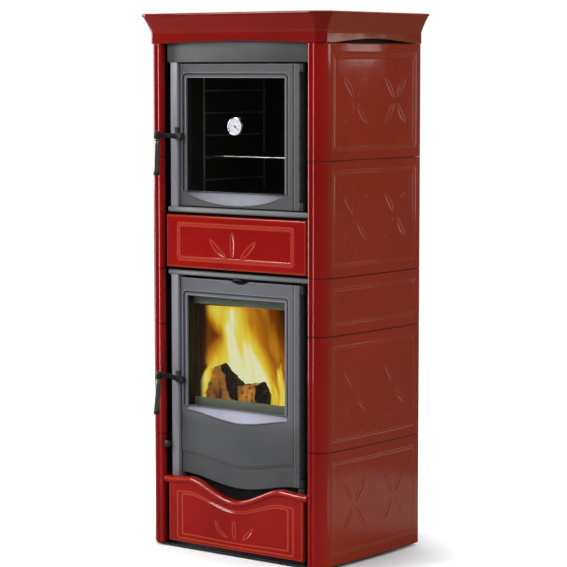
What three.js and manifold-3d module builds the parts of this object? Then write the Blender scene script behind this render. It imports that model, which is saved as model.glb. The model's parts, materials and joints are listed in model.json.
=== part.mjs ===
// A tall wood stove with an oven, clad in glazed tiles.
// Millimetres, +Z up, the front faces -Y, the feet stand on Z = 0.
// Every depth is a recess: how far a plane lies behind the front of the tiled columns.

import * as THREE from 'three';
import { mergeVertices } from 'three/addons/utils/BufferGeometryUtils.js';
import Module from 'manifold-3d';

// ---------------------------------------------------------------- clearances
const seat = 0.3; // between two pieces that rest on each other
const jointGap = 0.6; // mortar-free joint between two tile courses
const turnClear = 0.4; // round a shaft that turns
const past = 1; // how far a cut or a buried end runs past the face it meets

// ---------------------------------------------------------------- facets
const waveSteps = 20; // along a wavy edge
const lipSteps = 24; // along the lower tile's lip
const archSteps = 12; // along an arch of the cornice
const arcSteps = 7; // along a rounded corner of a column
const flareSteps = 5; // up the flare of the cornice
const armSteps = 8; // along a handle's bent arm
const fineSides = 40; // round a wide tube or dial
const roundSides = 24; // round a knob or boss
const plainSides = 16; // round a foot
const rodSides = 12; // round a control rod
const wireSides = 8; // round a wire

// ---------------------------------------------------------------- tile stack
const stackDepth = 435;
const fullCourse = 300;
const halfCourse = 150;
const courses = [fullCourse, fullCourse, halfCourse, fullCourse, fullCourse];
const tileBottom = 8;
const tileWall = 14;
const sideBow = 6;
const cornerCut = 20;
const columnFace = 27.3;
const columnReturn = 17;
const innerBead = 6.5;
const outerBead = 5.5;
const cornerRound = 5;
const edgeStrip = 38;
const stripGroove = 1.5;

// ---------------------------------------------------------------- cornice
const corniceHeight = 80;
const corniceBand = 28;
const corniceProud = 2.5;
const corniceOverhang = 28;
const noseRound = 4;
const flareCurve = 1.15;
const frontArch = 7;
const sideArch = 11;
const archMargin = 30;

// ---------------------------------------------------------------- front, from the top down
const upperPanelShow = 48;
const upperPanelHidden = 22;
const upperPanelThick = 6;
const ovenDoorTopGap = 4;
const ovenDoorHeight = 378;
const ovenDoorBottomGap = 3;
const upperLedgeHeight = 14;
const middleTopGap = 7;
const middleHeight = 140;
const middleBottomGap = 9;
const lowerLedgeHeight = 12;
const fireDoorTopGap = 8;
const fireDoorBottomGap = 6;
const lowerTileHeight = 182;
const lowerTileLift = 10;

// ---------------------------------------------------------------- front, widths and recesses
const ledgeEndGap = 9.7;
const ledgeRecess = 17;
const ledgeNose = 3;
const stileGap = 17.7;
const stileWidth = 23;
const stileRecess = 20;
const doorSideGap = 3.5;
const doorRecess = 26;
const doorThick = 22;
const doorBackGap = 2;
const plateThick = 8;
const middleInset = 10.3;
const middleRecess = 8;
const middleThick = 16;
const middleEdge = 4;
const middlePadInset = 20;
const upperPadInset = 80;
const padMargin = 14;
const frameLift = 8;
const lowerInset = 17.2;
const lowerLipInset = 2.9;
const lowerRecess = 4.4;
const lowerThick = 15.6;
const lowerLipRecess = 0.5;
const lowerLipHeight = 18;
const lowerLipDip = 42;
const lowerLipDipHalf = 155;
const lowerShoulder = 5;
const lowerShoulderHalf = 60;
const lowerLipEase = 4.5;
const lowerLipUnder = 5.4;

// ---------------------------------------------------------------- doors
const glassHalf = 167.5;
const latchRail = 20.5;
const hingeRail = 49.5;
const frameStep = 6;
const frameStepDepth = 2;
const glassLip = 10;
const glassThick = 4;
const glassEdge = 11.5;
const glassSideEdge = 7;
const gasketWidth = 6.4;
const ovenTopRail = 37;
const ovenBottomRail = 40;
const fireTopRail = 47;
const fireBottomRail = 185;
const bowDrop = 12;
const bowSag = 23;
const bowInset = 2.5;
const bowEndInset = 18.5;
const fireDoorDip = 24.5;
const fireBandHeight = 57;
const fireBandDepth = 3;
const fireGasketRise = 10;
const notchHalf = 31;
const notchDepth = 9;

// ---------------------------------------------------------------- hinges
const hingeOut = 8.5;
const hingeRecess = 33;
const knuckleRadius = 7;
const knuckleHeight = 22;
const knuckleWeb = 3.5;
const pinRadius = 3;
const pinDepth = 10;
const lugHalf = 10;
const lugHeight = 14;
const lugGap = 2;

// ---------------------------------------------------------------- door handles
const ovenPivotRise = 185;
const firePivotRise = 251;
const fireHandleTilt = THREE.MathUtils.degToRad(3);
const gripLean = THREE.MathUtils.degToRad(2);
const bossRadius = 9.5;
const bossFrontRecess = 11;
const spindleRadius = 4;
const armReach = 34;
const armStraight = 18;
const ovenArmRise = 3;
const fireArmRise = 13;
const armRiseEnd = 0.7;
const armTurnRecess = -7;
const gripRecess = -35;
const armHeight = 16;
const armThick = 8;
const socketRadius = 9;
const socketRise = 12;
const socketShoulder = 7;
const socketTipRadius = 5.4;
const gripLength = 98;
const gripTopRadius = 6.8;
const gripBottomRadius = 8;
const gripTipRadius = 5.6;
const gripTipEase = 1;
const latchReach = 19;
const latchNose = 8;
const latchTip = 1;
const latchHubRadius = 6;
const latchWidth = 10;
const latchThick = 5.5;
const pocketDepth = 6.5;
const pocketBelow = 8;
const pocketAbove = 24;

// ---------------------------------------------------------------- thermometer
const dialRise = 23;
const dialRadius = 24;
const dialRim = 2.5;
const dialThick = 7.7;
const dialSink = 2.2;
const stemRadius = 4;
const nutRadius = 8;
const nutThick = 5;
const needleLength = 17;
const needleTail = 6;
const needleWidth = 1.8;
const needleHub = 2.5;
const needleThick = 0.9;
const needleAngle = THREE.MathUtils.degToRad(-35);

// ---------------------------------------------------------------- steel body
const casingThick = 3;
const casingFrontRecess = 28;
const baseThick = 4;
const baseInset = 8;
const plinthHalf = 225;
const plinthHeight = 140;
const plinthThick = 3;
const topDrop = 50;
const topThick = 3;
const topSlotLength = 60;
const topSlotWidth = 7;
const topSlotPitch = 16;
const topSlots = 9;
const flueRadius = 75;
const flueWall = 2;
const flueFlange = 14;
const flueBack = 150;
const footRadius = 20;
const footStem = 6;
const footInsetX = 70;
const footInsetY = 76;
const footStemHeight = 14;
const footEase = 1;
const nutSize = 10;
const nutHeight = 9;

// ---------------------------------------------------------------- firebox and oven
const boxWall = 4;
const fireBoxSide = 17;
const fireBoxDepth = 309;
const fireBoxAbove = 37;
const openingMargin = 2;
const grateRise = 130;
const grateThick = 10;
const grateSlots = 9;
const grateSlotWidth = 8;
const grateSlotPitch = 18;
const grateSlotLength = 150;
const ledgeRailWidth = 20;
const ledgeRailHeight = 12;
const liningThick = 12;
const liningDrop = 62.2;
const ribDepth = 4;
const ribWidth = 9;
const ribPitch = 20;
const ribTaper = 1;
const outletDepth = 75;
const outletBehind = 75;
const baffleThick = 13;
const baffleFront = 50;
const retainerHeight = 42;
const retainerThick = 6;
const washHeight = 25;
const washThick = 12;
const ashHalf = 150;
const ashDepth = 266;
const ashHeight = 80;
const ashWall = 2;
const ashLip = 8;
const ashGripHalf = 37;
const ovenBoxSide = 2;
const ovenBoxDepth = 342;
const ovenFloorDrop = 9;
const ovenRoofRise = 13;
const railInset = 40;
const railRod = 2.5;
const runnerRod = 2;
const runnerCount = 5;
const runnerPitch = 60;
const runnerStart = 35;
const rackLevel = 1;
const rackWires = 13;
const rackWire = 1.6;
const rackFrame = 2.5;

// ---------------------------------------------------------------- air controls
const knobRadius = 10;
const knobLength = 15;
const knobRecess = 2.5;
const knobRise = 75;
const knobSideGap = 0.9;
const airRod = 3;
const airRodLength = 75;
const shutterSize = 22;
const leverWidth = 26;
const leverThick = 4;
const leverX = 4;
const leverTravel = 12;
const leverRecess = 15;
const leverDepth = 50;
const leverPlateHalf = 52;
const leverPlateDepth = 30;
const shutterThick = 3;

// ---------------------------------------------------------------- planes worked out from the sizes
const frontY = -stackDepth / 2;
const backY = stackDepth / 2;
const doorHalf = glassHalf + (latchRail + hingeRail) / 2;
const glassX = latchRail + glassHalf - doorHalf;
const stileInner = doorHalf + doorSideGap;
const stileOuter = stileInner + stileWidth;
const innerX = stileOuter + stileGap;
const edgeX = innerX + columnFace;
const halfWidth = edgeX + cornerCut;
const casingHalf = halfWidth - tileWall - seat;
const ledgeHalf = innerX - ledgeEndGap;
const doorBack = doorRecess + doorThick;
const plateRecess = doorBack + doorBackGap;
const plateBack = plateRecess + plateThick;
const stackTop = tileBottom + courses.reduce((sum, height) => sum + height, 0);
const upperPanelBottom = stackTop - upperPanelShow;
const ovenDoorTop = upperPanelBottom - ovenDoorTopGap;
const ovenDoorBottom = ovenDoorTop - ovenDoorHeight;
const upperLedgeTop = ovenDoorBottom - ovenDoorBottomGap;
const upperLedgeBottom = upperLedgeTop - upperLedgeHeight;
const middleTop = upperLedgeBottom - middleTopGap;
const middleBottom = middleTop - middleHeight;
const lowerLedgeTop = middleBottom - middleBottomGap;
const lowerLedgeBottom = lowerLedgeTop - lowerLedgeHeight;
const fireDoorTop = lowerLedgeBottom - fireDoorTopGap;
const lowerTileBottom = tileBottom + lowerTileLift;
const lowerTileTop = lowerTileBottom + lowerTileHeight;
const fireDoorBottom = lowerTileTop + fireDoorBottomGap;
const bowHalf = doorHalf - bowInset;
const bowEnd = doorHalf - bowEndInset;
const paneHalf = glassHalf + glassSideEdge;
const openingHalf = glassHalf + openingMargin / 2;
const fireBoxHalf = openingHalf - glassX + fireBoxSide;
const ovenBoxHalf = openingHalf - glassX + ovenBoxSide;
const glassFront = doorRecess + glassLip;
const glassBack = glassFront + glassThick;
const hingeX = doorHalf + hingeOut;
const pivotX = glassX - paneHalf - turnClear - latchHubRadius;
const topPlateZ = stackTop + corniceHeight - topDrop;
const gripFront = gripRecess - socketRadius;
const ovenPivotZ = ovenDoorBottom + ovenPivotRise;
const firePivotZ = fireDoorBottom + firePivotRise;
const airX = -(innerX - knobRadius - knobSideGap);
const airZ = fireDoorBottom + knobRise;
const fireFloorZ = fireDoorBottom + fireGasketRise + glassEdge;
const fireRoofZ = fireDoorTop - fireTopRail + fireBoxAbove;
const grateZ = fireFloorZ + grateRise;
const ovenFloorZ = ovenDoorBottom + ovenBottomRail - ovenFloorDrop;
const ovenRoofZ = ovenDoorTop - ovenTopRail + ovenRoofRise;
const boxFront = plateBack + seat;
const leverLow = fireDoorTop + (fireDoorTopGap - leverThick) / 2;

const behind = (recess) => frontY + recess;
const bell = (x, half) => (Math.abs(x) < half ? (1 + Math.cos((Math.PI * x) / half)) / 2 : 0);

// ---------------------------------------------------------------- materials
const finish = (color, roughness, metalness) =>
  new THREE.MeshStandardMaterial({ color, roughness, metalness });
const glaze = finish('#96141a', 0.12, 0);
const greyIron = finish('#6b6b70', 0.55, 0.6);
const darkIron = finish('#3c3c3f', 0.7, 0.5);
const blackSteel = finish('#1d1d1f', 0.6, 0.5);
const chrome = finish('#c9cbcf', 0.15, 1);
const fireBrick = finish('#8c8577', 0.9, 0);
const rope = finish('#4a4a48', 0.95, 0);
const clearGlass = finish('#1b1e22', 0.05, 0);
const dialWhite = finish('#f2f2ee', 0.3, 0);
const needleDark = finish('#20242c', 0.4, 0);

// ---------------------------------------------------------------- solids
const wasm = await Module();
wasm.setup();

function solidOf(geometry) {
  geometry.deleteAttribute('normal');
  geometry.deleteAttribute('uv');
  const merged = mergeVertices(geometry, 1e-4);
  const mesh = new wasm.Mesh({
    numProp: 3,
    vertProperties: new Float32Array(merged.attributes.position.array),
    triVerts: new Uint32Array(merged.index.array),
  });
  return new wasm.Manifold(mesh);
}

function box(x0, x1, y0, y1, z0, z1) {
  const geometry = new THREE.BoxGeometry(x1 - x0, y1 - y0, z1 - z0);
  return solidOf(geometry.translate((x0 + x1) / 2, (y0 + y1) / 2, (z0 + z1) / 2));
}

// An upright prism over a plan shape.
function prismUp(shape, z0, z1) {
  const options = { depth: z1 - z0, bevelEnabled: false };
  return solidOf(new THREE.ExtrudeGeometry(shape, options).translate(0, 0, z0));
}

// A prism from a shape drawn in the front view, x across and y up.
function prismBack(shape, y0, y1) {
  const options = { depth: y1 - y0, bevelEnabled: false };
  const geometry = new THREE.ExtrudeGeometry(shape, options).rotateX(Math.PI / 2);
  return solidOf(geometry.translate(0, y1, 0));
}

// A bar along X whose section is a list of [y, z] pairs.
function barAcross(section, x0, x1) {
  return loft([x0, x1].map((x) => section.map(([y, z]) => new THREE.Vector3(x, y, z))));
}

function rodUp(radius, x, y, z0, z1, sides = roundSides) {
  const geometry = new THREE.CylinderGeometry(radius, radius, z1 - z0, sides);
  return solidOf(geometry.rotateX(Math.PI / 2).translate(x, y, (z0 + z1) / 2));
}

function rodBack(radius, x, z, y0, y1, sides = roundSides) {
  const geometry = new THREE.CylinderGeometry(radius, radius, y1 - y0, sides);
  return solidOf(geometry.translate(x, (y0 + y1) / 2, z));
}

function rodAcross(radius, y, z, x0, x1, sides = wireSides) {
  const geometry = new THREE.CylinderGeometry(radius, radius, x1 - x0, sides);
  return solidOf(geometry.rotateZ(Math.PI / 2).translate((x0 + x1) / 2, y, z));
}

// A turned solid on the Z axis; the profile is [radius, height] pairs from axis to axis.
function turned(profile, sides) {
  const points = profile.map(([radius, height]) => new THREE.Vector2(radius, height));
  return new THREE.LatheGeometry(points, sides).rotateX(Math.PI / 2);
}

const union = (solids) => solids.reduce((sum, solid) => sum.add(solid));

// The end face of a loft, as triangles that keep the outline's own direction.
function capFaces(section) {
  const middle = new THREE.Vector3();
  section.forEach((point) => middle.add(point));
  middle.divideScalar(section.length);
  const normal = new THREE.Vector3();
  section.forEach((point, i) => {
    const next = section[(i + 1) % section.length];
    normal.add(point.clone().sub(middle).cross(next.clone().sub(middle)));
  });
  normal.normalize();
  const across = Math.abs(normal.z) < 0.9 ? new THREE.Vector3(0, 0, 1) : new THREE.Vector3(1, 0, 0);
  const right = across.clone().cross(normal).normalize();
  const up = normal.clone().cross(right);
  const flat = section.map((point) => new THREE.Vector2(point.dot(right), point.dot(up)));
  return THREE.ShapeUtils.triangulateShape(flat, []).map(([a, b, c]) => {
    const turn = flat[b].clone().sub(flat[a]).cross(flat[c].clone().sub(flat[a]));
    return turn > 0 ? [a, b, c] : [a, c, b];
  });
}

// A closed solid through a row of outlines with equal numbers of points.
function loft(sections) {
  const count = sections[0].length;
  const positions = sections.flat().flatMap((point) => [point.x, point.y, point.z]);
  const faces = [];
  for (let i = 0; i + 1 < sections.length; i += 1) {
    for (let j = 0; j < count; j += 1) {
      const k = (j + 1) % count;
      const [a, b, c, d] = [i * count + j, i * count + k, (i + 1) * count + k, (i + 1) * count + j];
      faces.push([a, b, c], [a, c, d]);
    }
  }
  capFaces(sections[0]).forEach(([a, b, c]) => faces.push([a, c, b]));
  const last = (sections.length - 1) * count;
  capFaces(sections.at(-1)).forEach(([a, b, c]) => faces.push([a + last, b + last, c + last]));
  const flat = sections.flat();
  const volume = faces.reduce((sum, [a, b, c]) => sum + flat[a].dot(flat[b].clone().cross(flat[c])), 0);
  const index = faces.flatMap(([a, b, c]) => (volume > 0 ? [a, b, c] : [a, c, b]));
  const geometry = new THREE.BufferGeometry();
  geometry.setAttribute('position', new THREE.Float32BufferAttribute(positions, 3));
  geometry.setIndex(index);
  return solidOf(geometry);
}

function steps(from, to, count) {
  return Array.from({ length: count + 1 }, (_, i) => from + ((to - from) * i) / count);
}

function shapeOf(points) {
  return new THREE.Shape(points.map(([x, y]) => new THREE.Vector2(x, y)));
}

// ---------------------------------------------------------------- the scene graph
const stove = new THREE.Group();
stove.position.y = -(behind(gripFront) + backY) / 2;

function piece(name, solid, material, parent = stove) {
  const result = solid.getMesh();
  const geometry = new THREE.BufferGeometry();
  geometry.setAttribute('position', new THREE.BufferAttribute(result.vertProperties, 3));
  geometry.setIndex(new THREE.BufferAttribute(result.triVerts, 1));
  geometry.computeVertexNormals();
  const mesh = new THREE.Mesh(geometry, material);
  mesh.name = name;
  parent.add(mesh);
  return mesh;
}

// ---------------------------------------------------------------- tiled sides
// Plan of one side tile with its corner column; side is 1 on the right and -1 on the left.
function sideTilePlan(side) {
  const shape = new THREE.Shape();
  const outerCentreX = edgeX - outerBead;
  const outerCentreY = behind(outerBead);
  const slopeOffset = outerCentreX - outerCentreY + outerBead * Math.SQRT2;
  const roundX = halfWidth - cornerRound;
  const roundY = roundX + cornerRound * Math.SQRT2 - slopeOffset;
  const stripY = behind(edgeStrip);
  shape.moveTo(innerX, behind(columnReturn));
  shape.absarc(innerX + innerBead, behind(innerBead), innerBead, Math.PI, Math.PI * 1.75);
  shape.absarc(outerCentreX, outerCentreY, outerBead, Math.PI * 1.25, Math.PI * 1.75);
  shape.absarc(roundX, roundY, cornerRound, Math.PI * 1.75, Math.PI * 2);
  shape.lineTo(halfWidth, stripY);
  shape.lineTo(halfWidth - stripGroove, stripY + stripGroove);
  shape.lineTo(halfWidth, stripY + 2 * stripGroove);
  shape.quadraticCurveTo(halfWidth + 2 * sideBow, (stripY + backY) / 2, halfWidth, backY - stripGroove);
  shape.lineTo(halfWidth, backY);
  shape.lineTo(halfWidth - tileWall, backY);
  shape.lineTo(halfWidth - tileWall, behind(columnReturn));
  const points = shape.getPoints(arcSteps).map((point) => [side * point.x, point.y]);
  return shapeOf(points);
}

function sideTiles() {
  [['left', -1], ['right', 1]].forEach(([word, side]) => {
    let bottom = tileBottom;
    courses.forEach((height, i) => {
      const low = i === 0 ? bottom : bottom + jointGap / 2;
      const high = i === courses.length - 1 ? bottom + height : bottom + height - jointGap / 2;
      piece(`side_tile_${word}_${i + 1}`, prismUp(sideTilePlan(side), low, high), glaze);
      bottom += height;
    });
  });
}

// ---------------------------------------------------------------- cornice
// The moulding's section as [outward offset, height] pairs, its foot first.
function corniceSection(archRise) {
  const flareTop = corniceHeight - noseRound;
  const eased = noseRound * (1 - Math.SQRT1_2);
  const flare = steps(0, 1, flareSteps).map((t) => [
    corniceProud + (corniceOverhang - corniceProud) * t ** flareCurve,
    corniceBand + (flareTop - corniceBand) * t,
  ]);
  return [
    [-tileWall, archRise],
    [corniceProud, archRise],
    ...flare,
    [corniceOverhang - eased, corniceHeight - eased],
    [corniceOverhang - noseRound, corniceHeight],
    [-tileWall, corniceHeight],
  ];
}

// One outline of the moulding, at a point of the plan and along its mitre.
function corniceOutline(x, y, mitreX, mitreY, archRise) {
  return corniceSection(archRise).map(
    ([out, up]) => new THREE.Vector3(x + out * mitreX, y + out * mitreY, stackTop + seat + up),
  );
}

function cornice() {
  const chamferY = behind(cornerCut);
  const sideMitre = Math.tan(Math.PI / 8);
  const archHalf = innerX - corniceProud;
  const frontRow = steps(-archHalf, archHalf, archSteps).map((x) =>
    corniceOutline(x, frontY, 0, -1, frontArch * Math.cos((Math.PI * x) / (2 * archHalf))));
  const front = loft([
    corniceOutline(-halfWidth, chamferY, -1, -sideMitre, 0),
    corniceOutline(-edgeX, frontY, -sideMitre, -1, 0),
    ...frontRow,
    corniceOutline(edgeX, frontY, sideMitre, -1, 0),
    corniceOutline(halfWidth, chamferY, 1, -sideMitre, 0),
  ]);
  piece('cornice_front', front, glaze);
  const archFront = chamferY + archMargin;
  const archBack = backY - archMargin;
  [['left', -1], ['right', 1]].forEach(([word, side]) => {
    const rows = steps(archFront, archBack, archSteps).map((y) => {
      const part = (y - archFront) / (archBack - archFront);
      return corniceOutline(side * halfWidth, y, side, 0, sideArch * Math.sin(Math.PI * part));
    });
    const solid = loft([
      corniceOutline(side * halfWidth, chamferY + jointGap, side, -sideMitre, 0),
      ...rows,
      corniceOutline(side * halfWidth, backY, side, 0, 0),
    ]);
    piece(`cornice_${word}`, solid, glaze);
  });
}

// ---------------------------------------------------------------- front tiles
// A rectangle across the front at one recess, as four corners.
function frontRectangle(half, low, high, recess) {
  const y = behind(recess);
  const corners = [[-half, low], [half, low], [half, high], [-half, high]];
  return corners.map(([x, z]) => new THREE.Vector3(x, y, z));
}

function middleTile() {
  const half = innerX - middleInset;
  const eased = middleEdge * (1 - Math.SQRT1_2);
  const tile = loft([
    frontRectangle(half - middleEdge, middleBottom + middleEdge, middleTop - middleEdge, middleRecess),
    frontRectangle(half - eased, middleBottom + eased, middleTop - eased, middleRecess + eased),
    frontRectangle(half, middleBottom, middleTop, middleRecess + middleEdge),
    frontRectangle(half, middleBottom, middleTop, middleRecess + middleThick),
  ]);
  piece('middle_tile', tile, glaze);
}

// Height of the lower tile's top edge at x.
function lipTop(x) {
  const away = Math.min(1, Math.abs(Math.abs(x) - lowerLipDipHalf) / lowerShoulderHalf);
  return lowerTileTop - lowerShoulder * away - lowerLipDip * bell(x, lowerLipDipHalf);
}

function lowerTile() {
  const back = behind(lowerRecess + lowerThick);
  const bodyHalf = innerX - lowerInset;
  const lipHalf = innerX - lowerLipInset;
  const front = behind(lowerRecess);
  const lipFront = behind(lowerLipRecess);
  const body = loft(steps(-bodyHalf, bodyHalf, lipSteps).map((x) => [
    [back, lowerTileBottom],
    [front + middleEdge, lowerTileBottom],
    [front, lowerTileBottom + middleEdge],
    [front, lipTop(x) - lowerLipHeight / 2],
    [back, lipTop(x) - lowerLipHeight / 2],
  ].map(([y, z]) => new THREE.Vector3(x, y, z))));
  const lip = loft(steps(-lipHalf, lipHalf, lipSteps).map((x) => [
    [back, lipTop(x) - lowerLipHeight],
    [front - (front - lipFront) / 2, lipTop(x) - lowerLipHeight],
    [lipFront, lipTop(x) - lowerLipHeight + lowerLipUnder],
    [lipFront, lipTop(x) - lowerLipEase],
    [lipFront + lowerLipEase, lipTop(x)],
    [back, lipTop(x)],
  ].map(([y, z]) => new THREE.Vector3(x, y, z))));
  piece('lower_tile', body.add(lip), glaze);
}

// ---------------------------------------------------------------- ledges and upper panel
function ledge(name, low, high, pinHole) {
  const nose = behind(ledgeRecess);
  const back = behind(plateRecess) - seat;
  const bar = barAcross([
    [back, low],
    [nose + ledgeNose, low],
    [nose, low + ledgeNose],
    [nose, high - ledgeNose],
    [nose + ledgeNose, high],
    [back, high],
  ], -ledgeHalf, ledgeHalf);
  piece(name, bar.subtract(pinHole), greyIron);
}

function frontBars() {
  const hole = (z0, z1) => rodUp(pinRadius + seat, hingeX, behind(hingeRecess), z0, z1);
  ledge('upper_ledge', upperLedgeBottom, upperLedgeTop,
    hole(upperLedgeTop - pinDepth, upperLedgeTop + past));
  ledge('lower_ledge', lowerLedgeBottom, lowerLedgeTop,
    hole(lowerLedgeBottom - past, lowerLedgeBottom + pinDepth));
  const panel = box(-ledgeHalf, ledgeHalf, behind(ledgeRecess), behind(ledgeRecess + upperPanelThick),
    upperPanelBottom, stackTop + upperPanelHidden);
  piece('upper_front_panel', panel, greyIron);
}

// ---------------------------------------------------------------- cast front frame
function frontFrame() {
  const half = casingHalf - casingThick - seat;
  const plateY = behind(plateRecess);
  const rearY = behind(plateBack);
  const through = (x0, x1, z0, z1) => box(x0, x1, plateY - past, rearY + past, z0, z1);
  const ovenLow = ovenDoorBottom + ovenBottomRail - openingMargin / 2;
  const ovenHigh = ovenDoorTop - ovenTopRail + openingMargin / 2;
  const fireLow = fireDoorBottom + fireGasketRise + gasketWidth + openingMargin;
  const fireHigh = fireDoorTop - fireTopRail + openingMargin / 2;
  const slotHalf = leverWidth / 2 + leverTravel + openingMargin;
  const slotTop = leverLow + leverThick + openingMargin / 2;
  const lugFront = behind(ledgeRecess + upperPanelThick) + seat;
  const pinHole = (z0, z1) => rodUp(pinRadius + seat, hingeX, behind(hingeRecess), z0, z1);
  const stile = (z0, z1) => box(-stileOuter, -stileInner, behind(stileRecess), rearY, z0, z1);
  const notch = (z) => box(pivotX - latchReach - openingMargin, past - stileInner,
    behind(stileRecess) - past, plateY, z - pocketBelow, z + pocketAbove);
  const frame = union([
    box(-half, half, plateY, rearY, tileBottom + frameLift, topPlateZ - seat),
    stile(upperLedgeTop + seat, upperPanelBottom),
    stile(lowerTileTop - lowerLipHeight, lowerLedgeBottom - seat),
    box(hingeX - lugHalf, hingeX + lugHalf, lugFront, rearY, upperPanelBottom, upperPanelBottom + lugHeight),
    box(hingeX - lugHalf, hingeX + lugHalf, lugFront, rearY, fireDoorBottom - lugGap - lugHeight,
      fireDoorBottom - lugGap),
    box(middlePadInset - doorHalf, doorHalf - middlePadInset, behind(middleRecess + middleThick) + seat,
      rearY, middleBottom + padMargin, middleTop - padMargin),
    box(upperPadInset - doorHalf, doorHalf - upperPadInset, lugFront, rearY, upperPanelBottom + padMargin,
      stackTop - padMargin),
  ]);
  const cuts = union([
    through(glassX - openingHalf, glassX + openingHalf, ovenLow, ovenHigh),
    through(glassX - openingHalf, glassX + openingHalf, fireLow, fireHigh),
    through(leverX - slotHalf, leverX + slotHalf, leverLow - seat, slotTop),
    rodBack(airRod + turnClear, airX, airZ, plateY - past, rearY + past),
    pinHole(upperPanelBottom - past, upperPanelBottom + pinDepth),
    pinHole(fireDoorBottom - lugGap - pinDepth, fireDoorBottom),
    notch(ovenPivotZ),
    notch(firePivotZ),
  ]);
  piece('front_frame', frame.subtract(cuts), darkIron);
}

function hingePins() {
  const y = behind(hingeRecess);
  const pin = (name, z0, z1) => piece(name, rodUp(pinRadius, hingeX, y, z0, z1), blackSteel);
  pin('oven_hinge_pin_lower', upperLedgeTop - pinDepth + seat, ovenDoorBottom + knuckleHeight - seat);
  pin('oven_hinge_pin_upper', ovenDoorTop - knuckleHeight + seat, upperPanelBottom + pinDepth - seat);
  pin('fire_hinge_pin_lower', fireDoorBottom - lugGap - pinDepth + seat,
    fireDoorBottom + knuckleHeight - seat);
  pin('fire_hinge_pin_upper', fireDoorTop - knuckleHeight + seat, lowerLedgeBottom + pinDepth - seat);
}

// ---------------------------------------------------------------- doors
// Points across the door at a height that varies with x, from the right to the left.
function waveRow(half, height) {
  return steps(half, -half, waveSteps).map((x) => [x, height(x)]);
}

// A flat rectangular ring round the window, with its faces square to the door.
function hollowRing(outerHalf, outerLow, outerHigh, width, y0, y1) {
  const outer = box(glassX - outerHalf, glassX + outerHalf, y0, y1, outerLow, outerHigh);
  return outer.subtract(box(glassX - outerHalf + width, glassX + outerHalf - width, y0 - past, y1 + past,
    outerLow + width, outerHigh - width));
}

// The sloping shelf that curves down from the glass to the door's face.
function bowScoop(glassLow) {
  const outside = behind(doorRecess) - past;
  return loft(steps(-bowEnd, bowEnd, waveSteps).map((x) => {
    const drop = bowDrop + bowSag * bell(x, bowHalf);
    return [
      new THREE.Vector3(x, outside, glassLow - drop * (1 + past / glassLip)),
      new THREE.Vector3(x, behind(glassFront), glassLow),
      new THREE.Vector3(x, outside, glassLow + seat),
    ];
  }));
}

function doorFrame(prefix, plan) {
  const front = behind(doorRecess);
  const back = behind(doorBack);
  const { low, high, glassLow, glassHigh, pivotZ, dip } = plan;
  const edge = (x) => low - dip * bell(x, doorHalf);
  const outline = shapeOf([[-doorHalf, high], ...waveRow(doorHalf, edge).reverse(), [doorHalf, high]]);
  const knuckles = [low, high - knuckleHeight].map((z) => {
    const tube = rodUp(knuckleRadius, hingeX, behind(hingeRecess), z, z + knuckleHeight);
    const web = box(doorHalf - past, hingeX, front, behind(hingeRecess + knuckleWeb), z, z + knuckleHeight);
    return tube.add(web);
  });
  const frame = union([prismBack(outline, front, back), ...knuckles]);
  const pocketX = pivotX + latchHubRadius + turnClear;
  const cuts = [
    box(glassX - glassHalf, glassX + glassHalf, front - past, back + past, glassLow, glassHigh),
    box(glassX - glassHalf - frameStep, glassX + glassHalf + frameStep, front - past,
      front + frameStepDepth, glassLow, glassHigh + frameStep),
    box(glassX - paneHalf, glassX + paneHalf, behind(glassFront) - seat, back + past,
      glassLow - glassEdge, glassHigh + glassEdge),
    bowScoop(glassLow),
    rodUp(pinRadius + seat, hingeX, behind(hingeRecess), low - dip - past, high + past),
    rodBack(spindleRadius + turnClear, pivotX, pivotZ, front - past, back + past),
    box(-doorHalf - past, pocketX, back - pocketDepth, back + past,
      pivotZ - pocketBelow, pivotZ + pocketAbove),
    ...plan.extraCuts,
  ];
  piece(`${prefix}_door_frame`, frame.subtract(union(cuts)), plan.material, plan.group);
}

function doorGlass(prefix, plan) {
  const half = paneHalf - seat;
  const y0 = behind(glassFront);
  const y1 = behind(glassBack);
  const pane = box(glassX - half, glassX + half, y0, y1, plan.glassLow - glassEdge + seat,
    plan.glassHigh + glassEdge - seat);
  const holes = plan.glassHoles;
  piece(`${prefix}_glass`, holes ? pane.subtract(holes) : pane, clearGlass, plan.group);
}

function doorGasket(prefix, plan) {
  const ring = hollowRing(paneHalf - seat, plan.gasketLow, plan.glassHigh + glassEdge - seat, gasketWidth,
    behind(glassBack) + seat, behind(plateRecess) - seat);
  piece(`${prefix}_gasket`, ring, rope, plan.group);
}

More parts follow.
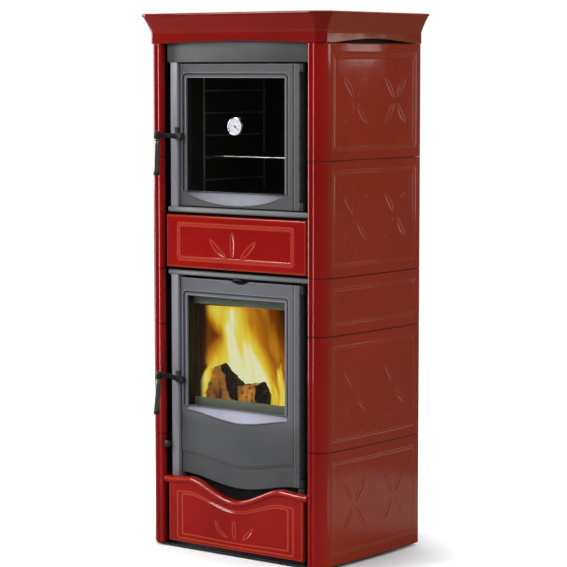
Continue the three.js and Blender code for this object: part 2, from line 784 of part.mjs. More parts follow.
// The handle turns on its pivot; everything in it is drawn round the pivot.
function doorHandle(prefix, plan) {
  const turning = new THREE.Group();
  turning.position.set(pivotX, 0, plan.pivotZ);
  turning.rotation.y = plan.tilt;
  plan.group.add(turning);
  const path = new THREE.CubicBezierCurve(
    new THREE.Vector2(0, behind(bossFrontRecess + armThick / 2)),
    new THREE.Vector2(-armStraight, behind(bossFrontRecess + armThick / 2)),
    new THREE.Vector2(-armReach, behind(armTurnRecess)),
    new THREE.Vector2(-armReach, behind(gripRecess)),
  );
  const stations = steps(0, 1, armSteps);
  const side = (t, out) => {
    const point = path.getPoint(t);
    const along = path.getTangent(t);
    return [point.x - along.y * out, point.y + along.x * out];
  };
  const bar = loft(stations.map((t) => {
    const z = plan.armRise * Math.min(1, t / armRiseEnd);
    const [near, far] = [side(t, armThick / 2), side(t, -armThick / 2)];
    return [
      new THREE.Vector3(...near, z - armHeight / 2),
      new THREE.Vector3(...far, z - armHeight / 2),
      new THREE.Vector3(...far, z + armHeight / 2),
      new THREE.Vector3(...near, z + armHeight / 2),
    ];
  }));
  const boss = rodBack(bossRadius, 0, 0, behind(bossFrontRecess), behind(doorRecess) - seat, roundSides);
  const spindle = rodBack(spindleRadius, 0, 0, behind(bossFrontRecess) + past, behind(doorBack) - seat);
  const gripFrame = new THREE.Matrix4().makeRotationY(gripLean);
  gripFrame.setPosition(-armReach, behind(gripRecess), plan.armRise);
  const socketShape = turned([
    [0, -armHeight / 2],
    [socketRadius, -armHeight / 2],
    [socketRadius, socketShoulder],
    [socketTipRadius, socketRise],
    [0, socketRise],
  ], roundSides).applyMatrix4(gripFrame);
  piece(`${prefix}_handle_arm`, union([bar, boss, spindle, solidOf(socketShape)]), blackSteel, turning);
  const top = -armHeight / 2 - seat;
  const gripShape = turned([
    [0, top],
    [gripTopRadius, top],
    [gripBottomRadius, top - gripLength + gripBottomRadius],
    [gripTipRadius, top - gripLength + gripTipEase],
    [0, top - gripLength],
  ].reverse(), roundSides).applyMatrix4(gripFrame);
  piece(`${prefix}_handle_grip`, solidOf(gripShape), greyIron, turning);
  const latchBack = behind(doorBack) - seat;
  const latchFront = latchBack - latchThick;
  const tongue = union([
    rodBack(latchHubRadius, 0, 0, latchFront, latchBack),
    prismBack(shapeOf([
      [0, -latchWidth / 2],
      [-latchNose, -latchWidth / 2],
      [-latchReach, latchTip],
      [-latchReach, latchWidth / 2],
      [0, latchWidth / 2],
    ]), latchFront, latchBack),
  ]).subtract(rodBack(spindleRadius + seat, 0, 0, latchFront - past, latchBack + past));
  piece(`${prefix}_latch`, tongue, darkIron, turning);
}

function ovenDoor() {
  const group = new THREE.Group();
  stove.add(group);
  const low = ovenDoorBottom;
  const glassLow = low + ovenBottomRail;
  const glassHigh = ovenDoorTop - ovenTopRail;
  const dialZ = (glassLow + glassHigh) / 2 + dialRise;
  const plan = {
    group,
    low,
    high: ovenDoorTop,
    glassLow,
    glassHigh,
    gasketLow: glassLow - glassEdge + seat,
    pivotZ: ovenPivotZ,
    dip: 0,
    tilt: 0,
    armRise: ovenArmRise,
    material: greyIron,
    extraCuts: [],
    glassHoles: rodBack(stemRadius + turnClear, glassX, dialZ, behind(glassFront) - past,
      behind(glassBack) + past),
  };
  doorFrame('oven', plan);
  doorGlass('oven', plan);
  doorGasket('oven', plan);
  doorHandle('oven', plan);
  thermometer(group, dialZ);
}

function thermometer(group, z) {
  const glassY = behind(glassFront) - seat;
  const front = glassY - dialThick;
  const rearY = behind(glassBack) + seat;
  const toDoor = new THREE.Matrix4().makeRotationX(Math.PI / 2).setPosition(glassX, 0, z);
  // The profile's height runs towards the viewer.
  const face = turned([
    [0, -rearY - nutThick],
    [nutRadius, -rearY - nutThick],
    [nutRadius, -rearY],
    [stemRadius, -rearY],
    [stemRadius, -glassY],
    [dialRadius, -glassY],
    [dialRadius, -front],
    [dialRadius - dialRim, -front],
    [dialRadius - dialRim, -front - dialSink],
    [0, -front - dialSink],
  ], fineSides).applyMatrix4(toDoor);
  piece('thermometer_case', solidOf(face), dialWhite, group);
  const turning = new THREE.Group();
  turning.position.set(glassX, 0, z);
  turning.rotation.y = -needleAngle;
  group.add(turning);
  const needleBack = front + dialSink - seat;
  const needle = union([
    rodBack(needleHub, 0, 0, needleBack - needleThick, needleBack),
    box(-needleTail, needleLength, needleBack - needleThick, needleBack, -needleWidth / 2, needleWidth / 2),
  ]);
  piece('thermometer_needle', needle, needleDark, turning);
}

function fireDoor() {
  const group = new THREE.Group();
  stove.add(group);
  const low = fireDoorBottom;
  const glassLow = low + fireBottomRail;
  const glassHigh = fireDoorTop - fireTopRail;
  const front = behind(doorRecess);
  const edge = (x) => low - fireDoorDip * bell(x, doorHalf);
  const band = shapeOf([
    ...waveRow(bowEnd, (x) => edge(x) - past),
    ...waveRow(bowEnd, (x) => edge(x) + fireBandHeight).reverse(),
  ]);
  const arcRadius = (notchHalf ** 2 + notchDepth ** 2) / (2 * notchDepth);
  const notch = rodBack(arcRadius, leverX, fireDoorTop - notchDepth + arcRadius, front - past,
    behind(doorBack) + past, 2 * fineSides);
  const gasketLow = low + fireGasketRise;
  const groove = hollowRing(paneHalf, gasketLow - seat, glassHigh + glassEdge,
    gasketWidth + 2 * seat, behind(glassBack), behind(doorBack) + past);
  const plan = {
    group,
    low,
    high: fireDoorTop,
    glassLow,
    glassHigh,
    gasketLow,
    pivotZ: firePivotZ,
    dip: fireDoorDip,
    tilt: fireHandleTilt,
    armRise: fireArmRise,
    material: darkIron,
    extraCuts: [prismBack(band, front - past, front + fireBandDepth), notch, groove],
  };
  doorFrame('fire', plan);
  doorGlass('fire', plan);
  doorGasket('fire', plan);
  doorHandle('fire', plan);
}

// ---------------------------------------------------------------- steel body
function steelBody() {
  const baseTop = tileBottom - seat;
  const baseLow = baseTop - baseThick;
  const half = halfWidth - baseInset;
  const footX = halfWidth - footInsetX;
  const footY = backY - footInsetY;
  const feet = [['rear_left', -1, 1], ['rear_right', 1, 1], ['front_left', -1, -1], ['front_right', 1, -1]];
  const nuts = feet.map(([, x, y]) => rodUp(nutSize, x * footX, y * footY, baseLow, baseTop + nutHeight, 6));
  const holes = feet.map(([, x, y]) =>
    rodUp(footStem + seat, x * footX, y * footY, baseLow - past, baseTop + nutHeight + past, plainSides));
  const plinthFront = behind(lowerRecess + lowerThick) + seat;
  const plate = shapeOf([
    [-half, backY - baseInset],
    [-half, behind(cornerCut + baseInset / 2)],
    [-edgeX, behind(baseInset)],
    [edgeX, behind(baseInset)],
    [half, behind(cornerCut + baseInset / 2)],
    [half, backY - baseInset],
  ]);
  const base = union([
    prismUp(plate, baseLow, baseTop),
    box(-plinthHalf, plinthHalf, plinthFront, plinthFront + plinthThick, baseLow, baseTop + plinthHeight),
    ...nuts,
  ]);
  piece('base_frame', base.subtract(union(holes)), blackSteel);
  feet.forEach(([word, x, y]) => {
    const profile = [
      [0, 0],
      [footRadius - footEase, 0],
      [footRadius, footEase],
      [footRadius, baseLow - seat],
      [footStem, baseLow - seat],
      [footStem, baseLow + footStemHeight],
      [0, baseLow + footStemHeight],
    ];
    const foot = turned(profile, plainSides).translate(x * footX, y * footY, 0);
    piece(`foot_${word}`, solidOf(foot), blackSteel);
  });
  const casingFront = behind(casingFrontRecess);
  const casingBack = backY - seat;
  const casing = box(-casingHalf, casingHalf, casingFront, casingBack, tileBottom, topPlateZ - seat)
    .subtract(box(-casingHalf + casingThick, casingHalf - casingThick, casingFront - past,
      casingBack - casingThick, tileBottom - past, topPlateZ + past));
  piece('steel_casing', casing, blackSteel);
}

function topPlate() {
  const front = behind(tileWall) + seat;
  const bevel = behind(casingFrontRecess) - front;
  const plan = shapeOf([
    [-casingHalf, backY - seat],
    [-casingHalf, front + bevel],
    [-casingHalf + bevel, front],
    [casingHalf - bevel, front],
    [casingHalf, front + bevel],
    [casingHalf, backY - seat],
  ]);
  const plate = prismUp(plan, topPlateZ, topPlateZ + topThick);
  const flueY = backY - flueBack;
  const slots = [-1, 1].flatMap((side) => steps(0, topSlots - 1, topSlots - 1).map((i) => {
    const x = side * (flueRadius + flueFlange + topSlotLength);
    const y = flueY + (i - (topSlots - 1) / 2) * topSlotPitch;
    return box(x - topSlotLength / 2, x + topSlotLength / 2, y - topSlotWidth / 2, y + topSlotWidth / 2,
      topPlateZ - past, topPlateZ + topThick + past);
  }));
  const hole = rodUp(flueRadius - flueWall, 0, flueY, topPlateZ - past, topPlateZ + topThick + past,
    fineSides);
  piece('top_plate', plate.subtract(union([hole, ...slots])), darkIron);
  const low = topPlateZ + topThick + seat;
  const top = stackTop + corniceHeight;
  const collar = rodUp(flueRadius, 0, flueY, low, top, fineSides)
    .add(rodUp(flueRadius + flueFlange, 0, flueY, low, low + topThick, fineSides))
    .subtract(rodUp(flueRadius - flueWall, 0, flueY, low - past, top + past, fineSides));
  piece('flue_collar', collar, darkIron);
}

// ---------------------------------------------------------------- firebox
function firebox() {
  const front = behind(boxFront);
  const back = front + fireBoxDepth;
  const inner = fireBoxHalf - boxWall;
  const floor = fireFloorZ;
  const roof = fireRoofZ;
  const rails = [-1, 1].map((side) => {
    const edges = [side * (inner + past), side * (inner - ledgeRailWidth)].sort((a, b) => a - b);
    return box(edges[0], edges[1], front + baffleFront, back - boxWall + past,
      grateZ - seat - ledgeRailHeight, grateZ - seat);
  });
  const shell = box(-fireBoxHalf, fireBoxHalf, front, back, floor - boxWall, roof + boxWall)
    .subtract(box(-inner, inner, front - past, back - boxWall, floor, roof))
    .subtract(box(-flueRadius, flueRadius, back - outletBehind - outletDepth, back - outletBehind,
      roof - past, roof + boxWall + past))
    .add(union(rails));
  piece('firebox_shell', shell, blackSteel);

  const plateTop = grateZ + grateThick;
  const plateHalf = inner - seat;
  const plateFront = front + openingMargin;
  const plateBackY = back - boxWall - seat;
  const slots = steps(0, grateSlots - 1, grateSlots - 1).map((i) => {
    const x = (i - (grateSlots - 1) / 2) * grateSlotPitch;
    const middle = (plateFront + plateBackY) / 2;
    return box(x - grateSlotWidth / 2, x + grateSlotWidth / 2, middle - grateSlotLength / 2,
      middle + grateSlotLength / 2, grateZ - past, plateTop + past);
  });
  const grate = box(-plateHalf, plateHalf, plateFront, plateBackY, grateZ, plateTop);
  piece('fire_grate', grate.subtract(union(slots)), darkIron);

  const liningLow = plateTop + seat;
  const liningTop = roof - liningDrop;
  const backLiningFront = plateBackY - liningThick;
  const comb = (width, thick) => {
    const points = [[0, 0], [width, 0]];
    const count = Math.floor(width / ribPitch);
    const start = (width - (count - 1) * ribPitch) / 2;
    points.push([width, thick]);
    steps(count - 1, 0, count - 1).forEach((i) => {
      const x = start + i * ribPitch;
      points.push([x + ribWidth / 2, thick], [x + ribWidth / 2 - ribTaper, thick + ribDepth]);
      points.push([x - ribWidth / 2 + ribTaper, thick + ribDepth], [x - ribWidth / 2, thick]);
    });
    points.push([0, thick]);
    return points;
  };
  const solidThick = liningThick - ribDepth;
  const sideLength = backLiningFront - seat - plateFront;
  [['left', -1], ['right', 1]].forEach(([word, side]) => {
    const points = comb(sideLength, solidThick).map(([along, into]) =>
      [side * (plateHalf - into), plateFront + along]);
    piece(`lining_${word}`, prismUp(shapeOf(points), liningLow, liningTop), darkIron);
  });
  const backPoints = comb(2 * plateHalf, solidThick).map(([along, into]) =>
    [along - plateHalf, plateBackY - into]);
  piece('lining_back', prismUp(shapeOf(backPoints), liningLow, liningTop), darkIron);

  const retainerHalf = plateHalf - liningThick - seat;
  piece('log_retainer', box(-retainerHalf, retainerHalf, plateFront, plateFront + retainerThick,
    liningLow, liningLow + retainerHeight), darkIron);
  const washLow = liningTop + seat;
  piece('air_wash_bar', box(-plateHalf, plateHalf, plateFront, plateFront + washThick,
    washLow, washLow + washHeight), greyIron);
  piece('baffle', box(-plateHalf, plateHalf, front + baffleFront, plateBackY,
    washLow, washLow + baffleThick), fireBrick);

  const panLow = floor + seat;
  const panFront = front + openingMargin;
  const pan = box(-ashHalf, ashHalf, panFront, panFront + ashDepth, panLow, panLow + ashHeight)
    .subtract(box(-ashHalf + ashWall, ashHalf - ashWall, panFront + ashWall, panFront + ashDepth - ashWall,
      panLow + ashWall, panLow + ashHeight + past))
    .add(box(-ashGripHalf, ashGripHalf, panFront - ashLip, panFront + past,
      panLow + ashHeight - ashWall - ashLip, panLow + ashHeight - ashLip));
  piece('ash_pan', pan, blackSteel);
}

// ---------------------------------------------------------------- oven
function oven() {
  const front = behind(boxFront);
  const back = front + ovenBoxDepth;
  const inner = ovenBoxHalf - boxWall;
  const liner = box(-ovenBoxHalf, ovenBoxHalf, front, back, ovenFloorZ - boxWall, ovenRoofZ + boxWall)
    .subtract(box(-inner, inner, front - past, back - boxWall, ovenFloorZ, ovenRoofZ));
  piece('oven_box', liner, blackSteel);

  const uprightX = inner - seat - railRod;
  const runnerX = uprightX - railRod - runnerRod + seat;
  const railFront = front + railInset;
  const railBack = back - boxWall - railInset;
  const runnerZ = (i) => ovenFloorZ + runnerStart + i * runnerPitch;
  [['left', -1], ['right', 1]].forEach(([word, side]) => {
    const uprights = [railFront, railBack].map((y) =>
      rodUp(railRod, side * uprightX, y, ovenFloorZ + seat, ovenRoofZ - seat, wireSides));
    const runners = steps(0, runnerCount - 1, runnerCount - 1).map((i) =>
      rodBack(runnerRod, side * runnerX, runnerZ(i), railFront - railRod, railBack + railRod, wireSides));
    piece(`oven_rail_${word}`, union([...uprights, ...runners]), chrome);
  });

  const rackZ = runnerZ(rackLevel) + runnerRod + seat + rackFrame;
  const rackHalf = uprightX - railRod - rackFrame - seat;
  const rackFront = railFront + railRod;
  const rackBack = railBack - railRod;
  const pitch = (2 * rackHalf) / (rackWires + 1);
  const wires = steps(1, rackWires, rackWires - 1).map((i) =>
    rodBack(rackWire, i * pitch - rackHalf, rackZ, rackFront, rackBack, wireSides));
  const frame = [-1, 1].map((side) =>
    rodBack(rackFrame, side * rackHalf, rackZ, rackFront, rackBack, wireSides));
  const ends = [rackFront, rackBack].map((y) =>
    rodAcross(rackFrame, y, rackZ, -rackHalf - rackFrame, rackHalf + rackFrame));
  piece('oven_rack', union([...frame, ...ends, ...wires]), chrome);
}

// ---------------------------------------------------------------- air controls
function airControls() {
  const knobFront = behind(knobRecess);
  const rodEnd = behind(plateBack) + airRodLength;
  const rod = union([
    rodBack(knobRadius, airX, airZ, knobFront, knobFront + knobLength, roundSides),
    rodBack(airRod, airX, airZ, knobFront + past, rodEnd, rodSides),
    box(airX - shutterSize / 2, airX + shutterSize / 2, rodEnd - past, rodEnd - past + shutterThick,
      airZ - shutterSize, airZ + shutterSize),
  ]);
  piece('primary_air_control', rod, blackSteel);
  const low = leverLow;
  const top = low + leverThick;
  const leverEnd = behind(plateBack) + leverDepth;
  const lever = union([
    box(leverX - leverWidth / 2, leverX + leverWidth / 2, behind(leverRecess), leverEnd, low, top),
    box(leverX - leverPlateHalf, leverX + leverPlateHalf, leverEnd - leverPlateDepth, leverEnd, low, top),
  ]);
  piece('secondary_air_lever', lever, blackSteel);
}

sideTiles();
cornice();
middleTile();
lowerTile();
frontBars();
frontFrame();
hingePins();
ovenDoor();
fireDoor();
steelBody();
topPlate();
firebox();
oven();
airControls();

export default stove;
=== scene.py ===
"""The looks of a tall wood stove with an oven, clad in glazed relief tiles.

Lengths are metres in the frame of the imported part: +Z up, -Y towards the doors. A recess is how far a
plane lies behind the front of the tiled columns.
"""

import json
import logging
import math
from dataclasses import dataclass
from enum import Enum
from functools import cache
from typing import Callable, Iterable, Sequence

import bmesh
import bpy
import numpy as np
from mathutils import Matrix, Vector, noise


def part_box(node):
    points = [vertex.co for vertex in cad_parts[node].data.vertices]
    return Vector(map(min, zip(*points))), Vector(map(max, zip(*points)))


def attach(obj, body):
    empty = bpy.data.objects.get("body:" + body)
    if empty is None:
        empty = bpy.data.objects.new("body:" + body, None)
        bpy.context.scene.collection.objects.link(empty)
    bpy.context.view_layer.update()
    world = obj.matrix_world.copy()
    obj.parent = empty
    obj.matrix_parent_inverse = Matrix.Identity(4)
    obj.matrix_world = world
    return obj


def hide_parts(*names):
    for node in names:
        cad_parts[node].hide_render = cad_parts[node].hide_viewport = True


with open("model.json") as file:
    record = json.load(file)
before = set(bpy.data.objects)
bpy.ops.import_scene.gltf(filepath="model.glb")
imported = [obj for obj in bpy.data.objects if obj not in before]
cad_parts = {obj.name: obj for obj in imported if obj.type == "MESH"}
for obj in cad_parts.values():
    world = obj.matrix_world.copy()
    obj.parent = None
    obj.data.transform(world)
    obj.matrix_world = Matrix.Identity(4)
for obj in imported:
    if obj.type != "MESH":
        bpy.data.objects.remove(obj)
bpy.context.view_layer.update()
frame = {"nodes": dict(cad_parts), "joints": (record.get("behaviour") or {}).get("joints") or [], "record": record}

MM = 0.001
FRONT, BACK = (corner.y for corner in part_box("side_tile_right_1"))
HALF_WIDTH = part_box("steel_casing")[1].x + 14.3 * MM
STOVE = "stove_body"
log = logging.getLogger("stove")

Triple = tuple[float, float, float]
Colour = tuple[float, float, float, float]
Pair = tuple[float, float]
Grid = np.ndarray
Field = Callable[[Grid, Grid], Grid]

BLACK: Colour = (0, 0, 0, 1)
WHITE: Colour = (1, 1, 1, 1)


class Side(Enum):
    """The two sides of the stove, as seen by someone who faces the doors."""

    LEFT = -1
    RIGHT = 1

    @property
    def word(self) -> str:
        """The side's word in the names of nodes."""
        return self.name.lower()


class Slot(Enum):
    """The record's material slots."""

    RED_GLAZE = "red_glaze"
    GREY_IRON = "grey_iron"
    DARK_IRON = "dark_iron"
    BLACK_STEEL = "black_steel"
    CHROME_WIRE = "chrome_wire"
    GRIP_METAL = "grip_metal"
    FIRE_BRICK = "fire_brick"
    GASKET_ROPE = "gasket_rope"
    WINDOW_GLASS = "window_glass"
    DIAL_ENAMEL = "dial_enamel"
    NEEDLE_PAINT = "needle_paint"


def mm(*lengths: float) -> list[float]:
    """Lengths in metres from their millimetres."""
    return [length * MM for length in lengths]


def behind(recess: float | Grid) -> float | Grid:
    """The Y of a plane that lies a recess behind the front of the columns."""
    return FRONT + recess


def turn(degrees: float, axis: str) -> Matrix:
    """A turn about an axis."""
    return Matrix.Rotation(math.radians(degrees), 4, axis)


def srgb(red: float, green: float, blue: float) -> Colour:
    """A linear colour from its red, green and blue as a picture shows them, from 0 to 255."""
    linear = [((c / 255 + 0.055) / 1.055) ** 2.4 if c > 10.3 else c / 255 / 12.92 for c in (red, green, blue)]
    return (*linear, 1.0)


# ---------------------------------------------------------------- shader maths
def maths(operation: str, swapped: bool = False) -> Callable[["Wire", "Wire | float"], "Wire"]:
    """An operator that adds a Math node, which swaps its two values in the reflected form."""
    def add_node(wire: "Wire", other: "Wire | float") -> "Wire":
        """The two values' sum, difference or product."""
        first, second = (other, wire) if swapped else (wire, other)
        return wire.shader.node("Math", {0: first, 1: second}, operation=operation)

    return add_node


class Wire:
    """An output of a shader node, with the arithmetic that the finishes use."""

    def __init__(self, shader: "Shader", socket: bpy.types.NodeSocket) -> None:
        self.shader = shader
        self.socket = socket

    __add__, __radd__ = maths("ADD"), maths("ADD", True)
    __sub__, __rsub__ = maths("SUBTRACT"), maths("SUBTRACT", True)
    __mul__, __rmul__ = maths("MULTIPLY"), maths("MULTIPLY", True)

    def step(self, low: float, high: float) -> "Wire":
        """A smooth rise from 0 at low to 1 at high."""
        return self.shader.node("MapRange", {0: self, 1: low, 2: high}, interpolation_type="SMOOTHSTEP")


class Shader:
    """Builds the node tree of one material or world."""

    def __init__(self, owner: bpy.types.Material | bpy.types.World) -> None:
        owner.use_nodes = True
        self.owner = owner
        self.tree = owner.node_tree
        self.tree.nodes.clear()

    def node(self, kind: str, inputs: dict | None = None, output: int | str = 0, **settings: str) -> Wire:
        """Adds any node.

        Args:
            kind: the node's type.
            inputs: values or wires by socket name or number.
            output: which output to give back.
            settings: the node's properties.
        Returns:
            The chosen output, or the first input of a node that has no output.
        """
        made = self.tree.nodes.new(f"ShaderNode{kind}")
        for name, value in settings.items():
            setattr(made, name, value)
        for name, value in (inputs or {}).items():
            if isinstance(value, Wire):
                self.tree.links.new(value.socket, made.inputs[name])
            else:
                made.inputs[name].default_value = value
        return Wire(self, made.outputs[output] if made.outputs else made.inputs[0])

    def place(self, scale: Triple = (1, 1, 1)) -> Wire:
        """The point on the object, stretched along each axis."""
        return self.node("Mapping", {"Vector": self.node("TexCoord", output="Object"), "Scale": scale})

    def cloud(self, size: float, detail: float = 3.0, stretch: Triple = (1, 1, 1)) -> Wire:
        """Noise whose blots are about size metres wide."""
        return self.node("TexNoise", {"Vector": self.place(stretch), "Scale": 1 / size, "Detail": detail})

    def mark(self, name: str) -> Wire:
        """A value that the mesh carries at its vertices."""
        return self.node("Attribute", output="Fac", attribute_name=name)

    def ray(self, kind: str) -> Wire:
        """1 for a ray of one kind, else 0."""
        return self.node("LightPath", output=f"Is {kind} Ray")

    def measure(self, operation: str, vector: Wire, other: Triple = (0, 0, 0)) -> Wire:
        """A single value from vectors."""
        return self.node("VectorMath", {0: vector, 1: other}, "Value", operation=operation)

    def mix(self, share: Wire | float, first: Wire | Colour, second: Wire | Colour) -> Wire:
        """A colour between two others."""
        return self.node("Mix", {0: share, 6: first, 7: second}, 2, data_type="RGBA")

    def ramp(self, value: Wire, stops: Sequence[tuple[float, Colour]]) -> Wire:
        """A colour looked up from a value, by the places and colours of its stops."""
        found = self.node("ValToRGB", {0: value})
        elements = found.socket.node.color_ramp.elements
        while len(elements) < len(stops):
            elements.new(1.0)
        for element, (place, colour) in zip(elements, stops):
            element.position = place
            element.color = colour
        return found

    def bump(self, height: Wire, depth: float, strength: float) -> Wire:
        """A normal that height tilts, with depth in metres."""
        return self.node("Bump", {"Strength": strength, "Distance": depth, "Height": height})

    def finish(self, result: Wire) -> bpy.types.Material:
        """Links the result to the output and gives back the material."""
        self.node("OutputMaterial", {0: result})
        return self.owner


# ---------------------------------------------------------------- finishes
class Finish:
    """A surface finish, whose material is built once and shared."""

    slot: Slot

    @cache
    def material(self) -> bpy.types.Material:
        """The finish as a material."""
        shader = Shader(bpy.data.materials.new(type(self).__name__))
        return shader.finish(self.surface(shader))

    def surface(self, shader: Shader) -> Wire:
        """Adds the finish's nodes and gives back the last one's output."""
        return shader.node("BsdfPrincipled", self.inputs(shader))

    def inputs(self, shader: Shader) -> dict[str, Wire | Colour | float]:
        """What the all-round surface shader takes in."""
        raise NotImplementedError


@dataclass(frozen=True)
class RedGlaze(Finish):
    """Deep red glaze that pools in the hollows, thins to orange over the relief and is dark in the joints."""

    slot: Slot = Slot.RED_GLAZE
    deep: Colour = srgb(116, 11, 8)
    body: Colour = srgb(134, 15, 11)
    thin: Colour = srgb(172, 72, 46)
    joint: Colour = srgb(46, 8, 5)
    roughness: float = 0.07

    def inputs(self, shader: Shader) -> dict:
        colour = shader.mix(shader.cloud(0.22).step(0.3, 0.75), self.deep, self.body)
        over = shader.mark("thin") * (0.6 + shader.cloud(0.012) * 0.6)
        colour = shader.mix(over, colour, self.thin)
        waves = shader.cloud(0.07, 1.0) + shader.cloud(0.005, 2.0) * 0.04
        return {
            "Base Color": shader.mix(shader.mark("soot"), colour, self.joint),
            "Roughness": self.roughness + shader.cloud(0.03) * 0.05,
            "Normal": shader.bump(waves, 1.1 * MM, 0.4),
            "Specular IOR Level": 0.42,
        }


@dataclass(frozen=True)
class CastIron(Finish):
    """Painted cast iron with a fine grain, rubbed lighter along its edges, lit by painted highlights and darkened
    by painted shade.
    """

    slot: Slot
    paint: Colour
    rubbed: Colour
    # the colour of painted highlights, then the black of painted shade
    bare: Colour = srgb(150, 150, 166)
    soot: Colour = srgb(14, 14, 15)
    roughness: float = 0.44
    metallic: float = 0.15

    def inputs(self, shader: Shader) -> dict:
        grain = shader.cloud(0.0016, 2.0)
        blots = shader.cloud(0.16).step(0.3, 0.75)
        edge = shader.mark("thin") * shader.cloud(0.01).step(0.2, 0.65)
        # painted highlight: the mesh's highlight mark brightens the paint
        bright = shader.mark("bare") * (0.72 + shader.cloud(0.05) * 0.4)
        colour = shader.mix(blots * 0.12 + grain * 0.1, self.paint, self.rubbed)
        colour = shader.mix(edge * 0.7, colour, self.rubbed)
        colour = shader.mix(bright, colour, self.bare)
        return {
            # painted shade: the mesh's shade mark blackens the paint
            "Base Color": shader.mix(shader.mark("soot"), colour, self.soot),
            "Metallic": self.metallic,
            "Roughness": self.roughness + grain * 0.16 - edge * 0.1,
            "Normal": shader.bump(grain, 0.25 * MM, 0.4),
            "Specular IOR Level": 0.35,
        }


@dataclass(frozen=True)
class PaintedSteel(Finish):
    """Sheet steel in matt heat-proof paint, faintly mottled and scuffed."""

    slot: Slot = Slot.BLACK_STEEL
    paint: Colour = srgb(24, 24, 26)
    scuffed: Colour = srgb(46, 46, 48)
    roughness: float = 0.5

    def inputs(self, shader: Shader) -> dict:
        scuffs = shader.cloud(0.03, 5.0).step(0.5, 0.8)
        peel = shader.cloud(0.0012, 2.0)
        return {
            "Base Color": shader.mix(scuffs * 0.6, self.paint, self.scuffed),
            "Metallic": 0.2,
            "Roughness": self.roughness - scuffs * 0.1 + peel * 0.1,
            "Normal": shader.bump(peel, 0.15 * MM, 0.4),
        }


@dataclass(frozen=True)
class BrightMetal(Finish):
    """Polished or satin metal with fine marks drawn along one axis."""

    slot: Slot
    colour: Colour
    tarnish: Colour
    roughness: float
    drawn: Triple = (8, 8, 1)

    def inputs(self, shader: Shader) -> dict:
        hairs = shader.cloud(0.006, 4.0, self.drawn)
        stain = shader.cloud(0.025, 4.0).step(0.45, 0.8)
        return {
            "Base Color": shader.mix(stain * 0.6, self.colour, self.tarnish),
            "Metallic": 1.0,
            "Roughness": self.roughness + hairs * 0.12 + stain * 0.1,
            "Normal": shader.bump(hairs, 0.05 * MM, 0.3),
        }


@dataclass(frozen=True)
class OvenGlass(Finish):
    """Clear ceramic glass, a little smoked, with a fine film of dust."""

    slot: Slot = Slot.WINDOW_GLASS
    tint: Colour = srgb(226, 228, 224)
    gloss: float = 0.4

    def surface(self, shader: Shader) -> Wire:
        clear = shader.node("BsdfTransparent", {"Color": self.tint})
        wavy = shader.bump(shader.cloud(0.08, 1.0), 0.4 * MM, 0.2)
        shine = shader.node("BsdfGlossy", {"Color": WHITE, "Roughness": 0.02, "Normal": wavy})
        film = shader.cloud(0.12, 4.0).step(0.45, 0.9) * 0.006
        share = shader.node("Fresnel", {"IOR": 1.42}) * self.gloss + film
        return shader.node("MixShader", {0: share, 1: clear, 2: shine})


@dataclass(frozen=True)
class Enamel(Finish):
    """Baked enamel, a little yellowed by heat."""

    slot: Slot
    colour: Colour
    aged: Colour
    roughness: float = 0.3

    def inputs(self, shader: Shader) -> dict:
        age = shader.cloud(0.012).step(0.4, 0.9)
        return {
            "Base Color": shader.mix(age * 0.5, self.colour, self.aged),
            "Roughness": self.roughness + age * 0.15,
            "Normal": shader.bump(shader.cloud(0.002), 0.05 * MM, 0.3),
        }


@dataclass(frozen=True)
class GasketRope(Finish):
    """Braided glass-fibre rope."""

    slot: Slot = Slot.GASKET_ROPE
    fibre: Colour = srgb(92, 90, 84)
    gaps: Colour = srgb(34, 33, 31)
    strand: float = 260.0

    def inputs(self, shader: Shader) -> dict:
        one, other = (shader.node("TexWave", {
            "Vector": shader.place((way, 1, 1)), "Scale": self.strand, "Distortion": 1.5,
        }, wave_type="BANDS", bands_direction="DIAGONAL") for way in (1, -1))
        braid = one * other
        return {
            "Base Color": shader.mix(braid, self.gaps, self.fibre),
            "Roughness": 0.95,
            "Normal": shader.bump(braid, 0.6 * MM, 0.8),
        }


@dataclass(frozen=True)
class FireBrick(Finish):
    """Light fire-proof board, blackened in blots."""

    slot: Slot = Slot.FIRE_BRICK
    clay: Colour = srgb(176, 160, 130)
    soot: Colour = srgb(40, 34, 28)

    def inputs(self, shader: Shader) -> dict:
        return {
            "Base Color": shader.mix(shader.cloud(0.06, 5.0).step(0.3, 0.62), self.clay, self.soot),
            "Roughness": 0.92,
            "Normal": shader.bump(shader.cloud(0.003, 4.0), 0.8 * MM, 0.6),
        }


@dataclass(frozen=True)
class BurningWood(Finish):
    """Split wood that chars at its edges and glows in its cracks, with the firelight on it painted in as a glow.
    """

    slot: Slot = Slot.FIRE_BRICK
    wood: Colour = srgb(120, 64, 28)
    pale: Colour = srgb(186, 118, 54)
    char: Colour = srgb(20, 13, 10)
    dim: Colour = srgb(78, 34, 12)
    lit: Colour = srgb(232, 158, 56)
    glow: Colour = srgb(255, 170, 60)

    def inputs(self, shader: Shader) -> dict:
        grain = shader.cloud(0.016, 6.0, (0.22, 1.6, 1.6))
        charred = (shader.mark("char") + shader.cloud(0.035, 5.0) * 1.15).step(0.58, 1.06)
        cracks = shader.cloud(0.018, 5.0, (0.7, 1.6, 1.6)).step(0.56, 0.72)
        ember = cracks * (shader.mark("ember") * 0.9 + 0.12)
        streak = grain.step(0.2, 0.9) * 0.5 + shader.cloud(0.05, 4.0, (1, 1, 0.5)).step(0.36, 0.66) * 0.6
        # painted firelight: the wood glows as if lit by the flames, black where charred
        light = shader.mix(charred, shader.mix(streak, self.dim, self.lit), BLACK)
        return {
            "Base Color": shader.mix(charred, shader.mix(streak, self.wood, self.pale), self.char),
            "Roughness": 0.9,
            "Normal": shader.bump(grain, 2.5 * MM, 0.8),
            "Emission Color": shader.mix(ember, light, self.glow),
            "Emission Strength": 0.8,
        }


